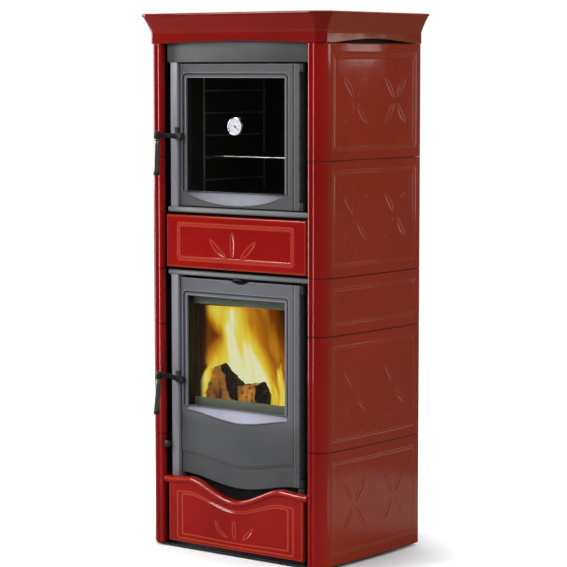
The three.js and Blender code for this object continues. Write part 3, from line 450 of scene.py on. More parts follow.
@dataclass(frozen=True)
class Flame(Finish):
    """Glowing gas, clear where it is thin; the mesh carries how hot it is."""

    slot: Slot = Slot.FIRE_BRICK
    strength: float = 1.3
    stops: tuple[tuple[float, Colour], ...] = (
        (0.0, srgb(92, 36, 6)), (0.28, srgb(150, 76, 12)), (0.5, srgb(216, 140, 28)),
        (0.7, srgb(244, 202, 52)), (0.9, srgb(252, 230, 96)), (1.0, srgb(255, 250, 204)),
    )

    def inputs(self, shader: Shader) -> dict:
        return {
            "Base Color": BLACK,
            "Roughness": 1.0,
            "Specular IOR Level": 0.0,
            "Alpha": shader.mark("body"),
            "Emission Color": shader.ramp(shader.mark("glow"), self.stops),
            "Emission Strength": self.strength,
        }


@dataclass(frozen=True)
class Ash(Finish):
    """A bed of grey ash with live embers under it."""

    slot: Slot = Slot.FIRE_BRICK

    def inputs(self, shader: Shader) -> dict:
        flakes = shader.cloud(0.012, 5.0)
        live = shader.cloud(0.03, 4.0).step(0.48, 0.66)
        return {
            "Base Color": shader.mix(flakes.step(0.4, 0.7), srgb(58, 50, 44), srgb(150, 140, 130)),
            "Roughness": 1.0,
            "Normal": shader.bump(flakes, 3 * MM, 0.8),
            "Emission Color": shader.mix(live, BLACK, srgb(255, 110, 20)),
            "Emission Strength": 1.8,
        }


GLAZE = RedGlaze()
# painted shade: a copy with duller relief lines for the sides, which get less light
SHADED_SIDE_GLAZE = RedGlaze(thin=srgb(134, 58, 32))
# painted shade: a darker copy of the glaze for the cornice
SHADED_CORNICE_GLAZE = RedGlaze(deep=srgb(100, 8, 4), body=srgb(112, 10, 6), thin=srgb(126, 58, 34))
GREY_IRON = CastIron(Slot.GREY_IRON, srgb(55, 56, 56), srgb(106, 107, 110))
DARK_IRON = CastIron(Slot.DARK_IRON, srgb(60, 61, 62), srgb(110, 111, 115))
SATIN_IRON = CastIron(Slot.DARK_IRON, srgb(122, 121, 127), srgb(156, 156, 162), roughness=0.36)
INNER_IRON = CastIron(Slot.DARK_IRON, srgb(74, 54, 40), srgb(104, 76, 54), roughness=0.75, metallic=0.05)
# painted light: a much lighter copy of the iron for the bars that the fire lights
FIRELIT_BAR_IRON = CastIron(Slot.DARK_IRON, srgb(158, 161, 152), srgb(192, 194, 186), roughness=0.5)
# painted light: a lighter copy of the grey iron for the ledges that catch the light
LIT_LEDGE_IRON = CastIron(Slot.GREY_IRON, srgb(96, 98, 97), srgb(146, 148, 148))
STEEL = PaintedSteel()
CHROME = BrightMetal(Slot.CHROME_WIRE, srgb(222, 223, 226), srgb(150, 146, 140), 0.1)
DULL_WIRE = Enamel(Slot.CHROME_WIRE, srgb(140, 142, 144), srgb(84, 83, 80))
GRIP = BrightMetal(Slot.GRIP_METAL, srgb(142, 143, 139), srgb(100, 98, 92), 0.26)
SCREW = BrightMetal(Slot.BLACK_STEEL, srgb(150, 150, 152), srgb(92, 90, 86), 0.28)
BRICK = FireBrick()
DIAL = Enamel(Slot.DIAL_ENAMEL, srgb(186, 188, 195), srgb(176, 173, 162))
INK = Enamel(Slot.NEEDLE_PAINT, srgb(24, 26, 32), srgb(40, 40, 44), 0.4)

NODE_FINISHES: dict[Slot, Finish] = {finish.slot: finish for finish in (
    GLAZE, GREY_IRON, DARK_IRON, STEEL, CHROME, GRIP, BRICK, GasketRope(), OvenGlass(), DIAL, INK)}


# ---------------------------------------------------------------- shaping
def grid_lines(keys: Iterable[float], pitch: float) -> Grid:
    """Grid lines that fall on every key and lie at most a pitch apart."""
    stops = sorted({round(key, 7) for key in keys})
    found = [stops[0]]
    for low, high in zip(stops, stops[1:]):
        count = max(1, math.ceil((high - low) / pitch - 1e-6))
        found += [low + (high - low) * i / count for i in range(1, count + 1)]
    return np.array(found)


def bell(x: Grid | float, half: float) -> Grid:
    """A smooth hump that is 1 at x = 0 and 0 from half outwards."""
    return np.where(np.abs(x) < half, (1 + np.cos(np.pi * np.clip(x / half, -1, 1))) / 2, 0.0)


def rise(value: Grid | float, low: float, high: float) -> Grid:
    """A smooth step from 0 at low to 1 at high."""
    share = np.clip((value - low) / (high - low), 0, 1)
    return share * share * (3 - 2 * share)


def ridge(distance: Grid | float, half: float) -> Grid:
    """The height, from 0 to 1, of a soft raised line whose middle is at distance 0."""
    return np.exp(-((distance / half) ** 2))


def eased(distance: Grid, radius: float) -> Grid:
    """How far a rounded edge of that radius drops at a distance inside the outline."""
    inside = np.clip(radius - distance, 0, radius)
    return radius - np.sqrt(np.clip(radius**2 - inside**2, 0, None))


def frame_distance(x: Grid, z: Grid, box: Sequence[float], corner: float = 0.0) -> Grid:
    """The signed distance from a rectangle (x0, x1, z0, z1) with rounded corners, negative inside."""
    dx = np.abs(x - (box[0] + box[1]) / 2) - (box[1] - box[0]) / 2 + corner
    dz = np.abs(z - (box[2] + box[3]) / 2) - (box[3] - box[2]) / 2 + corner
    outside = np.hypot(np.maximum(dx, 0), np.maximum(dz, 0))
    return outside + np.minimum(np.maximum(dx, dz), 0) - corner


def shrunk(box: Sequence[float], margin: float) -> tuple[float, ...]:
    """A rectangle that lies a margin inside another."""
    return box[0] + margin, box[1] - margin, box[2] + margin, box[3] - margin


@dataclass(frozen=True)
class Leaf:
    """A slim leaf in low relief, from its base to its tip."""

    base: Pair
    tip: Pair
    half_width: float = 5.5 * MM
    bend: float = 0.0
    line: float = 1.5 * MM

    def relief(self, x: Grid, z: Grid) -> tuple[Grid, Grid]:
        """The leaf's raised outline and its hollow blade, each from 0 to 1."""
        start = np.array(self.base)
        along = np.array(self.tip) - start
        length = float(np.hypot(*along))
        along = along / length
        s = ((x - start[0]) * along[0] + (z - start[1]) * along[1]) / length
        d = (x - start[0]) * -along[1] + (z - start[1]) * along[0]
        inside = np.clip(s, 0, 1)
        d = np.abs(d - self.bend * np.sin(np.pi * inside))
        width = self.half_width * np.sin(np.pi * inside) ** 0.5
        over = np.maximum(np.maximum(-s, s - 1), 0) * length
        outline = ridge(np.hypot(np.abs(d - width), over), self.line)
        blade = np.clip(1 - (d / np.maximum(width, 0.1 * MM)) ** 2, 0, 1) * (over < 1e-9)
        return outline, blade


@dataclass
class Relief:
    """Raised lines and leaves on a tile's face."""

    borders: list[tuple[Sequence[float], float]]
    leaves: list[Leaf]
    height: float = 1.0 * MM
    hollow: float = 0.7 * MM
    line: float = 1.7 * MM

    def at(self, x: Grid, z: Grid) -> tuple[Grid, Grid]:
        """How far the face stands out, in metres, and how thin the glaze is there."""
        raised = np.zeros_like(x)
        sunk = np.zeros_like(x)
        for box, corner in self.borders:
            away = frame_distance(x, z, box, corner)
            raised = np.maximum(raised, ridge(away, self.line))
            sunk = np.maximum(sunk, 0.7 * ridge(away + 2.6 * self.line, self.line))
        for leaf in self.leaves:
            outline, blade = leaf.relief(x, z)
            raised = np.maximum(raised, outline)
            sunk = np.maximum(sunk, blade)
        return self.height * raised - self.hollow * sunk * (1 - raised), raised


class Shape:
    """A bmesh on its way to being a piece, with the values that its finish reads."""

    weld: float = 1e-6

    def __init__(self, *marks: str) -> None:
        self.bm = bmesh.new()
        for name in marks:
            self.bm.verts.layers.float.new(name)
        self.marks = {name: self.bm.verts.layers.float[name] for name in marks}

    def since(self, before: set[bmesh.types.BMVert]) -> list[bmesh.types.BMVert]:
        """The vertices that weren't there before."""
        return [vert for vert in self.bm.verts if vert not in before]

    def sheet(self, points: Grid, **marks: Grid) -> list[bmesh.types.BMVert]:
        """Bends a grid so that its vertices lie on an array of points.

        Args:
            points: an array of rows by columns by 3.
            marks: arrays of rows by columns, by the name of the value they set.
        Returns:
            The new vertices.
        """
        rows, columns = points.shape[:2]
        made = bmesh.ops.create_grid(self.bm, x_segments=columns - 1, y_segments=rows - 1, size=0.5)["verts"]
        for vert in made:
            spot = round((vert.co.y + 0.5) * (rows - 1)), round((vert.co.x + 0.5) * (columns - 1))
            vert.co = points[spot]
            for name, values in marks.items():
                vert[self.marks[name]] = values[spot]
        return made

    def tube(self, rows: Grid, **marks: Grid) -> None:
        """A closed solid through a row of outlines, each an array of points."""
        closed = np.concatenate([rows, rows[:, :1]], axis=1)
        values = {name: np.concatenate([v, v[:, :1]], axis=1) for name, v in marks.items()}
        bmesh.ops.remove_doubles(self.bm, verts=self.sheet(closed, **values), dist=self.weld)
        open_edges = [edge for edge in self.bm.edges if edge.is_boundary]
        bmesh.ops.holes_fill(self.bm, edges=open_edges, sides=0)

    def thicken(self, verts: Iterable[bmesh.types.BMVert]) -> list[bmesh.types.BMVert]:
        """Doubles a sheet and joins the two along their rims, and gives back the new vertices."""
        faces = list({face: None for vert in verts if vert.is_valid for face in vert.link_faces})
        made = bmesh.ops.extrude_face_region(self.bm, geom=faces, use_keep_orig=True)["geom"]
        return [item for item in made if isinstance(item, bmesh.types.BMVert)]

    def slab(self, xs: Grid, zs: Grid, front: Field, back: Field, warp: Field | None = None,
             hole: Sequence[float] | None = None, **marks: Field) -> None:
        """A plate whose front and back are each drawn as a depth over x and z.

        Args:
            xs: grid lines across.
            zs: grid lines upwards.
            front: the Y of the front face.
            back: the Y of the back face.
            warp: the true height of a point of the flat grid.
            hole: an opening, as x0, x1, z0, z1.
            marks: the front's marks, each drawn as a value over x and z.
        """
        x, z = np.meshgrid(xs, zs)
        height = warp(x, z) if warp else z
        values = {name: mark(x, height) for name, mark in marks.items()}
        verts = self.sheet(np.stack([x, front(x, height), height], -1), **values)
        if hole:
            cut = []
            for face in self.bm.faces:
                middle = face.calc_center_median()
                if hole[0] < middle.x < hole[1] and hole[2] < middle.z < hole[3]:
                    cut.append(face)
            bmesh.ops.delete(self.bm, geom=cut, context="FACES")
        rear = self.thicken(verts)
        spots = np.array([vert.co for vert in rear])
        for vert, depth in zip(rear, back(spots[:, 0], spots[:, 2])):
            vert.co.y = depth
            for layer in self.marks.values():
                vert[layer] = 0.0

    def turned(self, profile: Sequence[Pair], matrix: Matrix, steps: int = 48) -> list[bmesh.types.BMVert]:
        """Spins a profile of (radius, height) pairs, which starts and ends on the axis.

        Args:
            profile: the pairs, in metres.
            matrix: carries the turned shape from the Z axis to its place.
            steps: how many steps make the full turn.
        Returns:
            The new vertices.
        """
        before = set(self.bm.verts)
        chain = [self.bm.verts.new((radius, 0, height)) for radius, height in profile]
        edges = [self.bm.edges.new(pair) for pair in zip(chain, chain[1:])]
        bmesh.ops.spin(self.bm, geom=chain + edges, cent=(0, 0, 0), axis=(0, 0, 1), dvec=(0, 0, 0),
                       angle=math.tau, steps=steps, use_merge=True, use_normal_flip=False,
                       use_duplicate=False)
        bmesh.ops.remove_doubles(self.bm, verts=self.since(before), dist=self.weld)
        made = self.since(before)
        bmesh.ops.transform(self.bm, matrix=matrix, verts=made)
        return made

    def round_edges(self, edges: list[bmesh.types.BMEdge], radius: float, segments: int) -> None:
        """Rounds sharp edges."""
        bmesh.ops.bevel(self.bm, geom=edges, offset=radius, affect="EDGES", segments=segments, profile=0.5,
                        material=-1, clamp_overlap=True)

    def block(self, low: Sequence[float], high: Sequence[float], edge: float = 0.0,
              matrix: Matrix | None = None) -> list[bmesh.types.BMVert]:
        """A box between two corners, with the radius of its edges and a matrix that moves it."""
        before = set(self.bm.verts)
        made = bmesh.ops.create_cube(self.bm, size=1.0)["verts"]
        size = Vector(high) - Vector(low)
        middle = Matrix.Translation((Vector(high) + Vector(low)) / 2)
        bmesh.ops.transform(self.bm, matrix=middle @ Matrix.Diagonal((*size, 1)), verts=made)
        if edge:
            self.round_edges(list({e for vert in made for e in vert.link_edges}), edge, 3)
        made = self.since(before)
        if matrix:
            bmesh.ops.transform(self.bm, matrix=matrix, verts=made)
        return made

    def piece(self, name: str, body: str, finish: Finish, replaced: Sequence[str] = (),
              sharp: float = 32.0) -> bpy.types.Object:
        """Turns the shape into a piece that rides on a body.

        Args:
            name: the piece's name.
            body: the body it rides on.
            finish: its finish.
            replaced: the nodes it stands for.
            sharp: edges sharper than this many degrees stay crisp.
        Returns:
            The new object.
        """
        bmesh.ops.recalc_face_normals(self.bm, faces=self.bm.faces[:])
        for face in self.bm.faces:
            face.smooth = True
        mesh = bpy.data.meshes.new(name)
        self.bm.to_mesh(mesh)
        self.bm.free()
        mesh.set_sharp_from_angle(angle=math.radians(sharp))
        return add_piece(name, mesh, body, finish, replaced)


def add_object(name: str, data: bpy.types.ID) -> bpy.types.Object:
    """Makes an object of a mesh, lamp, camera or text and adds it to the scene."""
    made = bpy.data.objects.new(name, data)
    bpy.context.scene.collection.objects.link(made)
    return made


def add_piece(name: str, mesh: bpy.types.Mesh, body: str, finish: Finish,
              replaced: Sequence[str] = ()) -> bpy.types.Object:
    """Makes a mesh into a piece with a finish, which rides on a body and may stand for nodes."""
    mesh.materials.clear()
    mesh.materials.append(finish.material())
    made = add_object(name, mesh)
    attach(made, body)
    if replaced:
        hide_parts(*replaced)
    log.info("%s: %d faces on %s", name, len(mesh.polygons), body)
    return made


def refined(node: str, body: str, finish: Finish, edge: float, smooth: float = 32.0,
            dark: Callable[[Vector], bool] | None = None) -> None:
    """Makes a piece of a node's own shape, with its flat faces joined and its sharp edges rounded.

    Args:
        node: the node to copy.
        body: the body it rides on.
        finish: its finish.
        edge: the radius of its edges.
        smooth: edges sharper than this many degrees are rounded.
        dark: tells by its middle which face gets the black of sheet steel as painted shade.
    """
    shape = Shape()
    bm = shape.bm
    bm.from_mesh(frame["nodes"][node].data)
    bmesh.ops.remove_doubles(bm, verts=bm.verts[:], dist=shape.weld)
    bmesh.ops.dissolve_limit(bm, angle_limit=math.radians(0.5), verts=bm.verts[:], edges=bm.edges[:],
                             use_dissolve_boundaries=False)
    if edge:
        limit = math.radians(smooth)
        sharp = [e for e in bm.edges if len(e.link_faces) == 2 and e.calc_face_angle(0) > limit]
        shape.round_edges(sharp, edge, 2)
    result = shape.piece(f"{node}_dressed", body, finish, [node], smooth)
    if dark:
        result.data.materials.append(STEEL.material())
        for polygon in result.data.polygons:
            polygon.material_index = int(dark(polygon.center))


# ---------------------------------------------------------------- tiles
@dataclass
class ColumnPlan:
    """The plan of a side tile with its corner column, on the right, as (x, recess)."""

    inner: float
    corner_cut: float = 20 * MM
    inner_bead: float = 6.5 * MM
    outer_bead: float = 5.5 * MM
    corner_round: float = 5 * MM
    column_return: float = 17 * MM
    wall: float = 14 * MM
    strip: float = 38 * MM
    groove: float = 1.5 * MM
    bow: float = 6 * MM
    pitch: float = 2 * MM

    def arc(self, centre: Pair, radius: float, start: float, stop: float, count: int) -> list[Pair]:
        """Points on an arc, with angles in degrees and 270 facing the front."""
        turns = np.radians(np.linspace(start, stop, count))
        return [(centre[0] + radius * math.cos(t), centre[1] + radius * math.sin(t)) for t in turns]

    def side(self, depth: float) -> float:
        """The x of the bowed side face at a recess."""
        share = np.clip((depth - self.strip) / (BACK - FRONT - self.strip), 0, 1)
        return HALF_WIDTH + 4 * self.bow * share * (1 - share)

    def outline(self) -> list[Pair]:
        """The closed plan: inner bead, valley, outer bead, chamfer, bowed side and back."""
        outer = (HALF_WIDTH - self.corner_cut - self.outer_bead, self.outer_bead)
        slope = outer[0] - outer[1] + self.outer_bead * math.sqrt(2)
        round_x = HALF_WIDTH - self.corner_round
        round_y = round_x + self.corner_round * math.sqrt(2) - slope
        deep = BACK - FRONT
        points = [(self.inner, self.column_return)]
        points += self.arc((self.inner + self.inner_bead, self.inner_bead), self.inner_bead, 180, 336, 14)
        points += self.arc(outer, self.outer_bead, 204, 315, 12)
        points += self.arc((round_x, round_y), self.corner_round, 315, 360, 6)
        points += [(HALF_WIDTH, self.strip - self.groove), (HALF_WIDTH - self.groove, self.strip)]
        for depth in grid_lines([self.strip + self.groove, deep - 2 * MM], self.pitch):
            points.append((self.side(depth), float(depth)))
        points += [(HALF_WIDTH, deep), (HALF_WIDTH - self.wall, deep)]
        return points + [(HALF_WIDTH - self.wall, self.column_return)]


@dataclass
class TiledSides:
    """The glazed courses down both sides, each with its stretch of corner column."""

    courses: int = 5
    full_course: float = 200 * MM
    edge: float = 0.9 * MM
    pitch: float = 2.2 * MM
    border_front: float = 46 * MM
    border_back: float = 24 * MM
    border_rise: float = 27 * MM
    border_gap: float = 6 * MM
    corner: float = 5 * MM
    motif_places: Pair = (137 * MM, 312 * MM)
    leaf_inner: float = 9 * MM
    leaf_reach: Pair = (46 * MM, 56 * MM)
    leaf_half: float = 6.5 * MM
    leaf_bend: float = 2.5 * MM
    turn_start: float = 8 * MM
    turn_width: float = 19 * MM
    turn_thin: float = 0.62
    relief_thin: float = 0.38
    joint_half: float = 1.1 * MM
    joint_dark: float = 0.85

    def motif(self, y: float, z: float) -> list[Leaf]:
        """Four leaves that cross at a point."""
        found = []
        for across, up in ((-1, -1), (-1, 1), (1, -1), (1, 1)):
            base = (y + across * self.leaf_inner, z + up * self.leaf_inner)
            tip = (y + across * self.leaf_reach[0], z + up * self.leaf_reach[1])
            found.append(Leaf(base, tip, self.leaf_half, across * up * self.leaf_bend))
        return found

    def relief(self, low: float, high: float) -> Relief:
        """The border, and on a full course the two motifs."""
        rear = BACK - FRONT - self.border_back
        box = (self.border_front, rear, low + self.border_rise, high - self.border_rise)
        leaves = []
        if high - low > self.full_course:
            for place in self.motif_places:
                leaves += self.motif(place, (low + high) / 2)
        return Relief([(box, self.corner), (shrunk(box, self.border_gap), self.corner)], leaves)

    def tile(self, side: Side, course: int) -> None:
        """Builds one course of one side."""
        node = f"side_tile_{side.word}_{course}"
        low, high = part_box(node)
        plan = np.array(ColumnPlan(min(abs(low.x), abs(high.x))).outline())
        ends = [share * self.edge for share in (0, 0.25, 0.6, 1)]
        zs = grid_lines([low.z + e for e in ends] + [high.z - e for e in ends], self.pitch)
        along = np.roll(plan, -1, axis=0) - np.roll(plan, 1, axis=0)
        out = np.stack([along[:, 1], -along[:, 0]], -1)
        out /= np.linalg.norm(out, axis=1, keepdims=True)
        away = np.minimum(zs - low.z, high.z - zs)
        points = plan[None] - out[None] * eased(away, self.edge)[:, None, None]
        depth, z = np.meshgrid(plan[:, 1], zs)
        stand, thin = self.relief(low.z, high.z).at(depth, z)
        face = (plan[:, 0] >= HALF_WIDTH - 0.1 * MM) & (plan[:, 1] > self.border_front - 7 * MM)
        outer = plan[:, 0] > HALF_WIDTH - self.turn_width
        turning = rise(plan[:, 1], self.turn_start, self.border_front) * outer
        thin = self.turn_thin * turning + self.relief_thin * thin * face
        joint = np.repeat(self.joint_dark * ridge(away, self.joint_half)[:, None], len(plan), axis=1)
        rows = np.stack([side.value * (points[..., 0] + stand * face), behind(points[..., 1]), z], -1)
        shape = Shape("thin", "soot")
        shape.tube(rows, thin=np.clip(thin, 0, 1), soot=joint)
        shape.piece(f"{node}_glazed", STOVE, SHADED_SIDE_GLAZE, [node], 40)

    def build(self) -> None:
        """Builds every course of both sides."""
        for side in Side:
            for course in range(1, self.courses + 1):
                self.tile(side, course)


Station = tuple[Pair, Pair, float]


@dataclass
class Cornice:
    """The flared moulding round the top, in three mitred lengths, drawn at stations of its plan.

    A station is its place, the way out from the stove there and how far the moulding's foot arches up.
    """

    wall: float = 14 * MM
    band: float = 28 * MM
    proud: float = 2.5 * MM
    overhang: float = 28 * MM
    nose: float = 4 * MM
    flare: float = 1.25
    front_arch: float = 7 * MM
    side_arch: float = 11 * MM
    corner_cut: float = 20 * MM
    corner_round: float = 5 * MM
    margin: float = 30 * MM
    joint: float = 0.6 * MM
    # painted sheen: how far the front and the sides are painted towards the brownish colour
    front_painted_sheen: float = 0.06
    side_painted_sheen: float = 0.75

    def section(self, height: float, arch: float) -> list[Pair]:
        """The moulding's closed outline as (outward, up) pairs."""
        top = height - self.nose
        foot = ((-1.5, 0), (-0.4, 0.4), (0, 1.5), (0, 2.1))
        quirk = ((0, -3.6), (0, -3), (-0.1, -1), (-0.1, 0), (0.3, 1.5))
        points = [(-self.wall, arch)]
        points += [(self.proud + out * MM, arch + up * MM) for out, up in foot]
        points += [(self.proud + out * MM, self.band + up * MM) for out, up in quirk]
        for share in np.linspace(0.06, 1, 14):
            out = self.proud + (self.overhang - self.nose - self.proud) * share**self.flare
            points.append((out, self.band + (top - self.nose - self.band) * share))
        for angle in np.radians(np.linspace(-30, 90, 9)):
            out = self.overhang - self.nose * (1 - math.cos(angle))
            points.append((out, top + self.nose * math.sin(angle)))
        return points + [(-self.wall, height)]

    def length(self, name: str, stations: list[Station], thin: float) -> None:
        """Builds one length of moulding through its stations, with how much brownish sheen is painted on it."""
        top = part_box(name)[1].z
        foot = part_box("side_tile_right_5")[1].z + 0.3 * MM
        rows = np.array([[(x + out * way_x, y + out * way_y, foot + up)
                          for out, up in self.section(top - foot, arch)]
                         for (x, y), (way_x, way_y), arch in stations])
        ups = rows[:, :, 2] - foot
        thin = thin + 0.2 * ridge(ups - self.band - 3 * MM, 2 * MM)
        thin = thin + 0.3 * ridge(ups - (top - foot), 1.5 * MM)
        shape = Shape("thin")
        shape.tube(rows, thin=np.clip(thin, 0, 1))
        shape.piece(f"{name}_glazed", STOVE, SHADED_CORNICE_GLAZE, [name], 20)

    def bend(self, corner: Pair, start: float, stop: float) -> list[Station]:
        """Stations round a corner, with angles in degrees from the front, seen from above."""
        middle = math.radians((start + stop) / 2)
        reach = self.corner_round / math.cos(math.radians((stop - start) / 2))
        centre = (corner[0] - reach * math.sin(middle), corner[1] + reach * math.cos(middle))
        found = []
        for angle in np.radians(np.linspace(start, stop, 7)):
            out = (math.sin(angle), -math.cos(angle))
            place = (centre[0] + self.corner_round * out[0], centre[1] + self.corner_round * out[1])
            found.append((place, out, 0.0))
        return found

    def build(self) -> None:
        """Builds the front and the two sides."""
        edge = HALF_WIDTH - self.corner_cut
        mitre = math.tan(math.pi / 8)
        arch_half = edge - self.margin
        cut = behind(self.corner_cut)
        row = [((x, FRONT), (0.0, -1.0), self.front_arch * math.cos(math.pi * x / (2 * arch_half)))
               for x in np.linspace(-arch_half, arch_half, 41)]
        left = [((-HALF_WIDTH, cut), (-1.0, -mitre), 0.0)] + self.bend((-edge, FRONT), -45, 0)
        right = self.bend((edge, FRONT), 0, 45) + [((HALF_WIDTH, cut), (1.0, -mitre), 0.0)]
        self.length("cornice_front", left + row + right, self.front_painted_sheen)
        first = cut + self.margin
        last = BACK - self.margin
        for side in Side:
            x = side.value * HALF_WIDTH
            way = (side.value, 0.0)
            row = [((x, y), way, self.side_arch * math.sin(math.pi * (y - first) / (last - first)))
                   for y in np.linspace(first, last, 31)]
            start = ((x, cut + self.joint), (side.value, -mitre), 0.0)
            self.length(f"cornice_{side.word}", [start, *row, ((x, BACK), way, 0.0)], self.side_painted_sheen)


class FrontTile:
    """A glazed tile between the columns, with rounded edges, a relief and a flat back."""

    node: str
    leaf_thin: float
    edge: float = 4 * MM
    crown: float = 1 * MM
    pitch: float = 2 * MM

    def __init__(self, half: float, face: float) -> None:
        self.half = half
        self.face = face
        self.low, self.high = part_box(self.node)
        self.steps = [*mm(0, 0.4, 1.2, 2.4), self.edge]
        self.relief = self.draw_relief(self.low.z, self.high.z)

    def draw_relief(self, low: float, high: float) -> Relief:
        """The borders and leaves, between the heights of the tile's foot and top."""
        raise NotImplementedError

    def heights(self) -> list[float]:
        """The heights that a grid line falls on."""
        return [self.low.z + e for e in self.steps] + [self.high.z - e for e in self.steps]

    def warp(self, x: Grid, z: Grid) -> Grid:
        """The true height of a point of the flat tile."""
        return z

    def flat(self, x: Grid, z: Grid) -> Grid:
        """The height in the flat tile of a true point."""
        return z

    def inside(self, x: Grid, z: Grid) -> Grid:
        """The distance inside the tile's outline."""
        return np.minimum(self.half - np.abs(x), np.minimum(z - self.low.z, self.high.z - z))

    def front(self, x: Grid, z: Grid) -> Grid:
        """The glazed face."""
        stand = self.relief.at(x, self.flat(x, z))[0]
        return self.face + self.crown + eased(self.inside(x, z), self.edge - self.crown) - stand

    def back(self, x: Grid, z: Grid) -> Grid:
        """The flat back."""
        return np.full_like(x, self.high.y)

    def thin(self, x: Grid, z: Grid) -> Grid:
        """Where the glaze runs thin."""
        over = self.leaf_thin * self.relief.at(x, self.flat(x, z))[1]
        return np.maximum(over, 0.35 * ridge(self.inside(x, z) - 1.5 * MM, 3 * MM))

    def add_lip(self, shape: Shape) -> None:
        """Adds what stands on the tile, here nothing."""

    def build(self) -> None:
        """Builds the tile."""
        xs = grid_lines([s * (self.half - e) for s in (-1, 1) for e in self.steps], self.pitch)
        zs = grid_lines(self.heights(), self.pitch)
        shape = Shape("thin")
        shape.slab(xs, zs, self.front, self.back, self.warp, thin=self.thin)
        self.add_lip(shape)
        shape.piece(f"{self.node}_glazed", STOVE, GLAZE, [self.node], 50)


class MiddleTile(FrontTile):
    """The plain tile between the doors, with a border and three leaves that fan out from its middle."""

    node = "middle_tile"
    leaf_thin = 0.6
    border_x: float = 196 * MM
    border_z: float = 21 * MM

    def __init__(self) -> None:
        low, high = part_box(self.node)
        super().__init__(high.x, low.y)

    def draw_relief(self, low: float, high: float) -> Relief:
        """A double border and three leaves with broad lines."""
        middle = low + 34 * MM
        line = 1.8 * MM
        leaves = [
            Leaf((-29 * MM, middle - 3 * MM), (-84 * MM, middle + 44 * MM), 6.5 * MM, 3 * MM, line),
            Leaf((-7 * MM, middle), (-8 * MM, middle + 65 * MM), 6 * MM, 0.0, line),
            Leaf((20 * MM, middle - 3 * MM), (70 * MM, middle + 43 * MM), 6.5 * MM, 0.0, line),
        ]
        box = (-self.border_x, self.border_x, low + self.border_z, high - self.border_z)
        return Relief([(box, 5 * MM), (shrunk(box, 6 * MM), 4 * MM)], leaves, 0.9 * MM, 0.6 * MM, 2.2 * MM)


class SkirtTile(FrontTile):
    """The lowest front tile, whose rolled lip dips in a wave under the fire door."""

    node = "lower_tile"
    leaf_thin = 0.8
    dip: float = 42 * MM
    dip_half: float = 155 * MM
    shoulder: float = 5 * MM
    shoulder_half: float = 60 * MM
    lip_height: float = 18 * MM
    lip_recess: float = 0.6 * MM
    lip_edge: float = 2.4 * MM
    rounds: int = 12

    def __init__(self) -> None:
        super().__init__(229.5 * MM, behind(4.4 * MM))
        self.flat_top = self.high.z - self.lip_height / 2

    def lip_top(self, x: Grid) -> Grid:
        """The height of the wavy top."""
        away = np.clip(np.abs(np.abs(x) - self.dip_half) / self.shoulder_half, 0, 1)
        return self.high.z - self.shoulder * away - self.dip * bell(x, self.dip_half)

    def draw_relief(self, low: float, high: float) -> Relief:
        """Two borders and three leaves, in the flat tile before its top is waved."""
        outer = (-198 * MM, 198 * MM, low + 11 * MM, high - 41 * MM)
        inner = (-181 * MM, 181 * MM, low + 23 * MM, high - 48 * MM)
        leaves = [
            Leaf((-26 * MM, low + 37 * MM), (-66 * MM, low + 82 * MM), 4.5 * MM, 7 * MM),
            Leaf((0, low + 37 * MM), (-2 * MM, low + 100 * MM), 5 * MM),
            Leaf((30 * MM, low + 38 * MM), (61 * MM, low + 76 * MM), 5.5 * MM, -2 * MM),
        ]
        return Relief([(outer, 3 * MM), (inner, 3 * MM)], leaves)

    def heights(self) -> list[float]:
        """The heights of the flat tile, whose top lies in the middle of the lip."""
        return [self.low.z + e for e in self.steps] + [self.flat_top]

    def warp(self, x: Grid, z: Grid) -> Grid:
        """The waved height of a flat point."""
        span = self.flat_top - self.low.z
        left = (self.lip_top(x) - self.lip_height / 2 - self.low.z) / span
        part = (z - self.low.z) / span
        return z - span * (1 - left) * (0.25 * part + 0.75 * part**1.6)

    def flat(self, x: Grid, z: Grid) -> Grid:
        """The flat height of a waved point, by a few rounds of correction."""
        guess = z.copy()
        for _ in range(self.rounds):
            guess = guess + (z - self.warp(x, guess))
        return guess

    def inside(self, x: Grid, z: Grid) -> Grid:
        """The distance inside the tile's sides and foot."""
        return np.minimum(self.half - np.abs(x), z - self.low.z)

    def add_lip(self, shape: Shape) -> None:
        """Sweeps the rolled lip along the wave."""
        half, back = self.high.x, self.high.y
        radius = self.lip_height / 2
        roll = [(behind(self.lip_recess) + radius * 0.8 * (1 - math.cos(t)), -radius + radius * math.sin(t))
                for t in np.radians(np.linspace(-90, 90, 17))]
        section = [(back, -self.lip_height), *roll, (back, 0.0)]
        ends = mm(0, 0.4, 1.2, 2.4)
        xs = grid_lines([s * (half - e) for s in (-1, 1) for e in ends], 5 * MM)
        pinch = eased(half - np.abs(xs), self.lip_edge)
        rows = np.array([[(x, y + p * (y < back - 1 * MM), t + z) for y, z in section]
                         for x, p, t in zip(xs, pinch, self.lip_top(xs))])
        # painted highlight along the top of the roll
        crest_highlight = [0.5 * float(ridge(z + radius * 0.7, 2.5 * MM)) for _, z in roll]
        shape.tube(rows, thin=np.repeat(np.array([[0.0, *crest_highlight, 0.0]]), len(xs), axis=0))


# ---------------------------------------------------------------- doors
def pivot(prefix: str) -> Pair:
    """The x and z about which a door's handle turns."""
    spot = next(j["pos_m"] for j in frame["joints"] if j["name"] == f"{prefix}_handle_turn")
    return spot[0], spot[2]


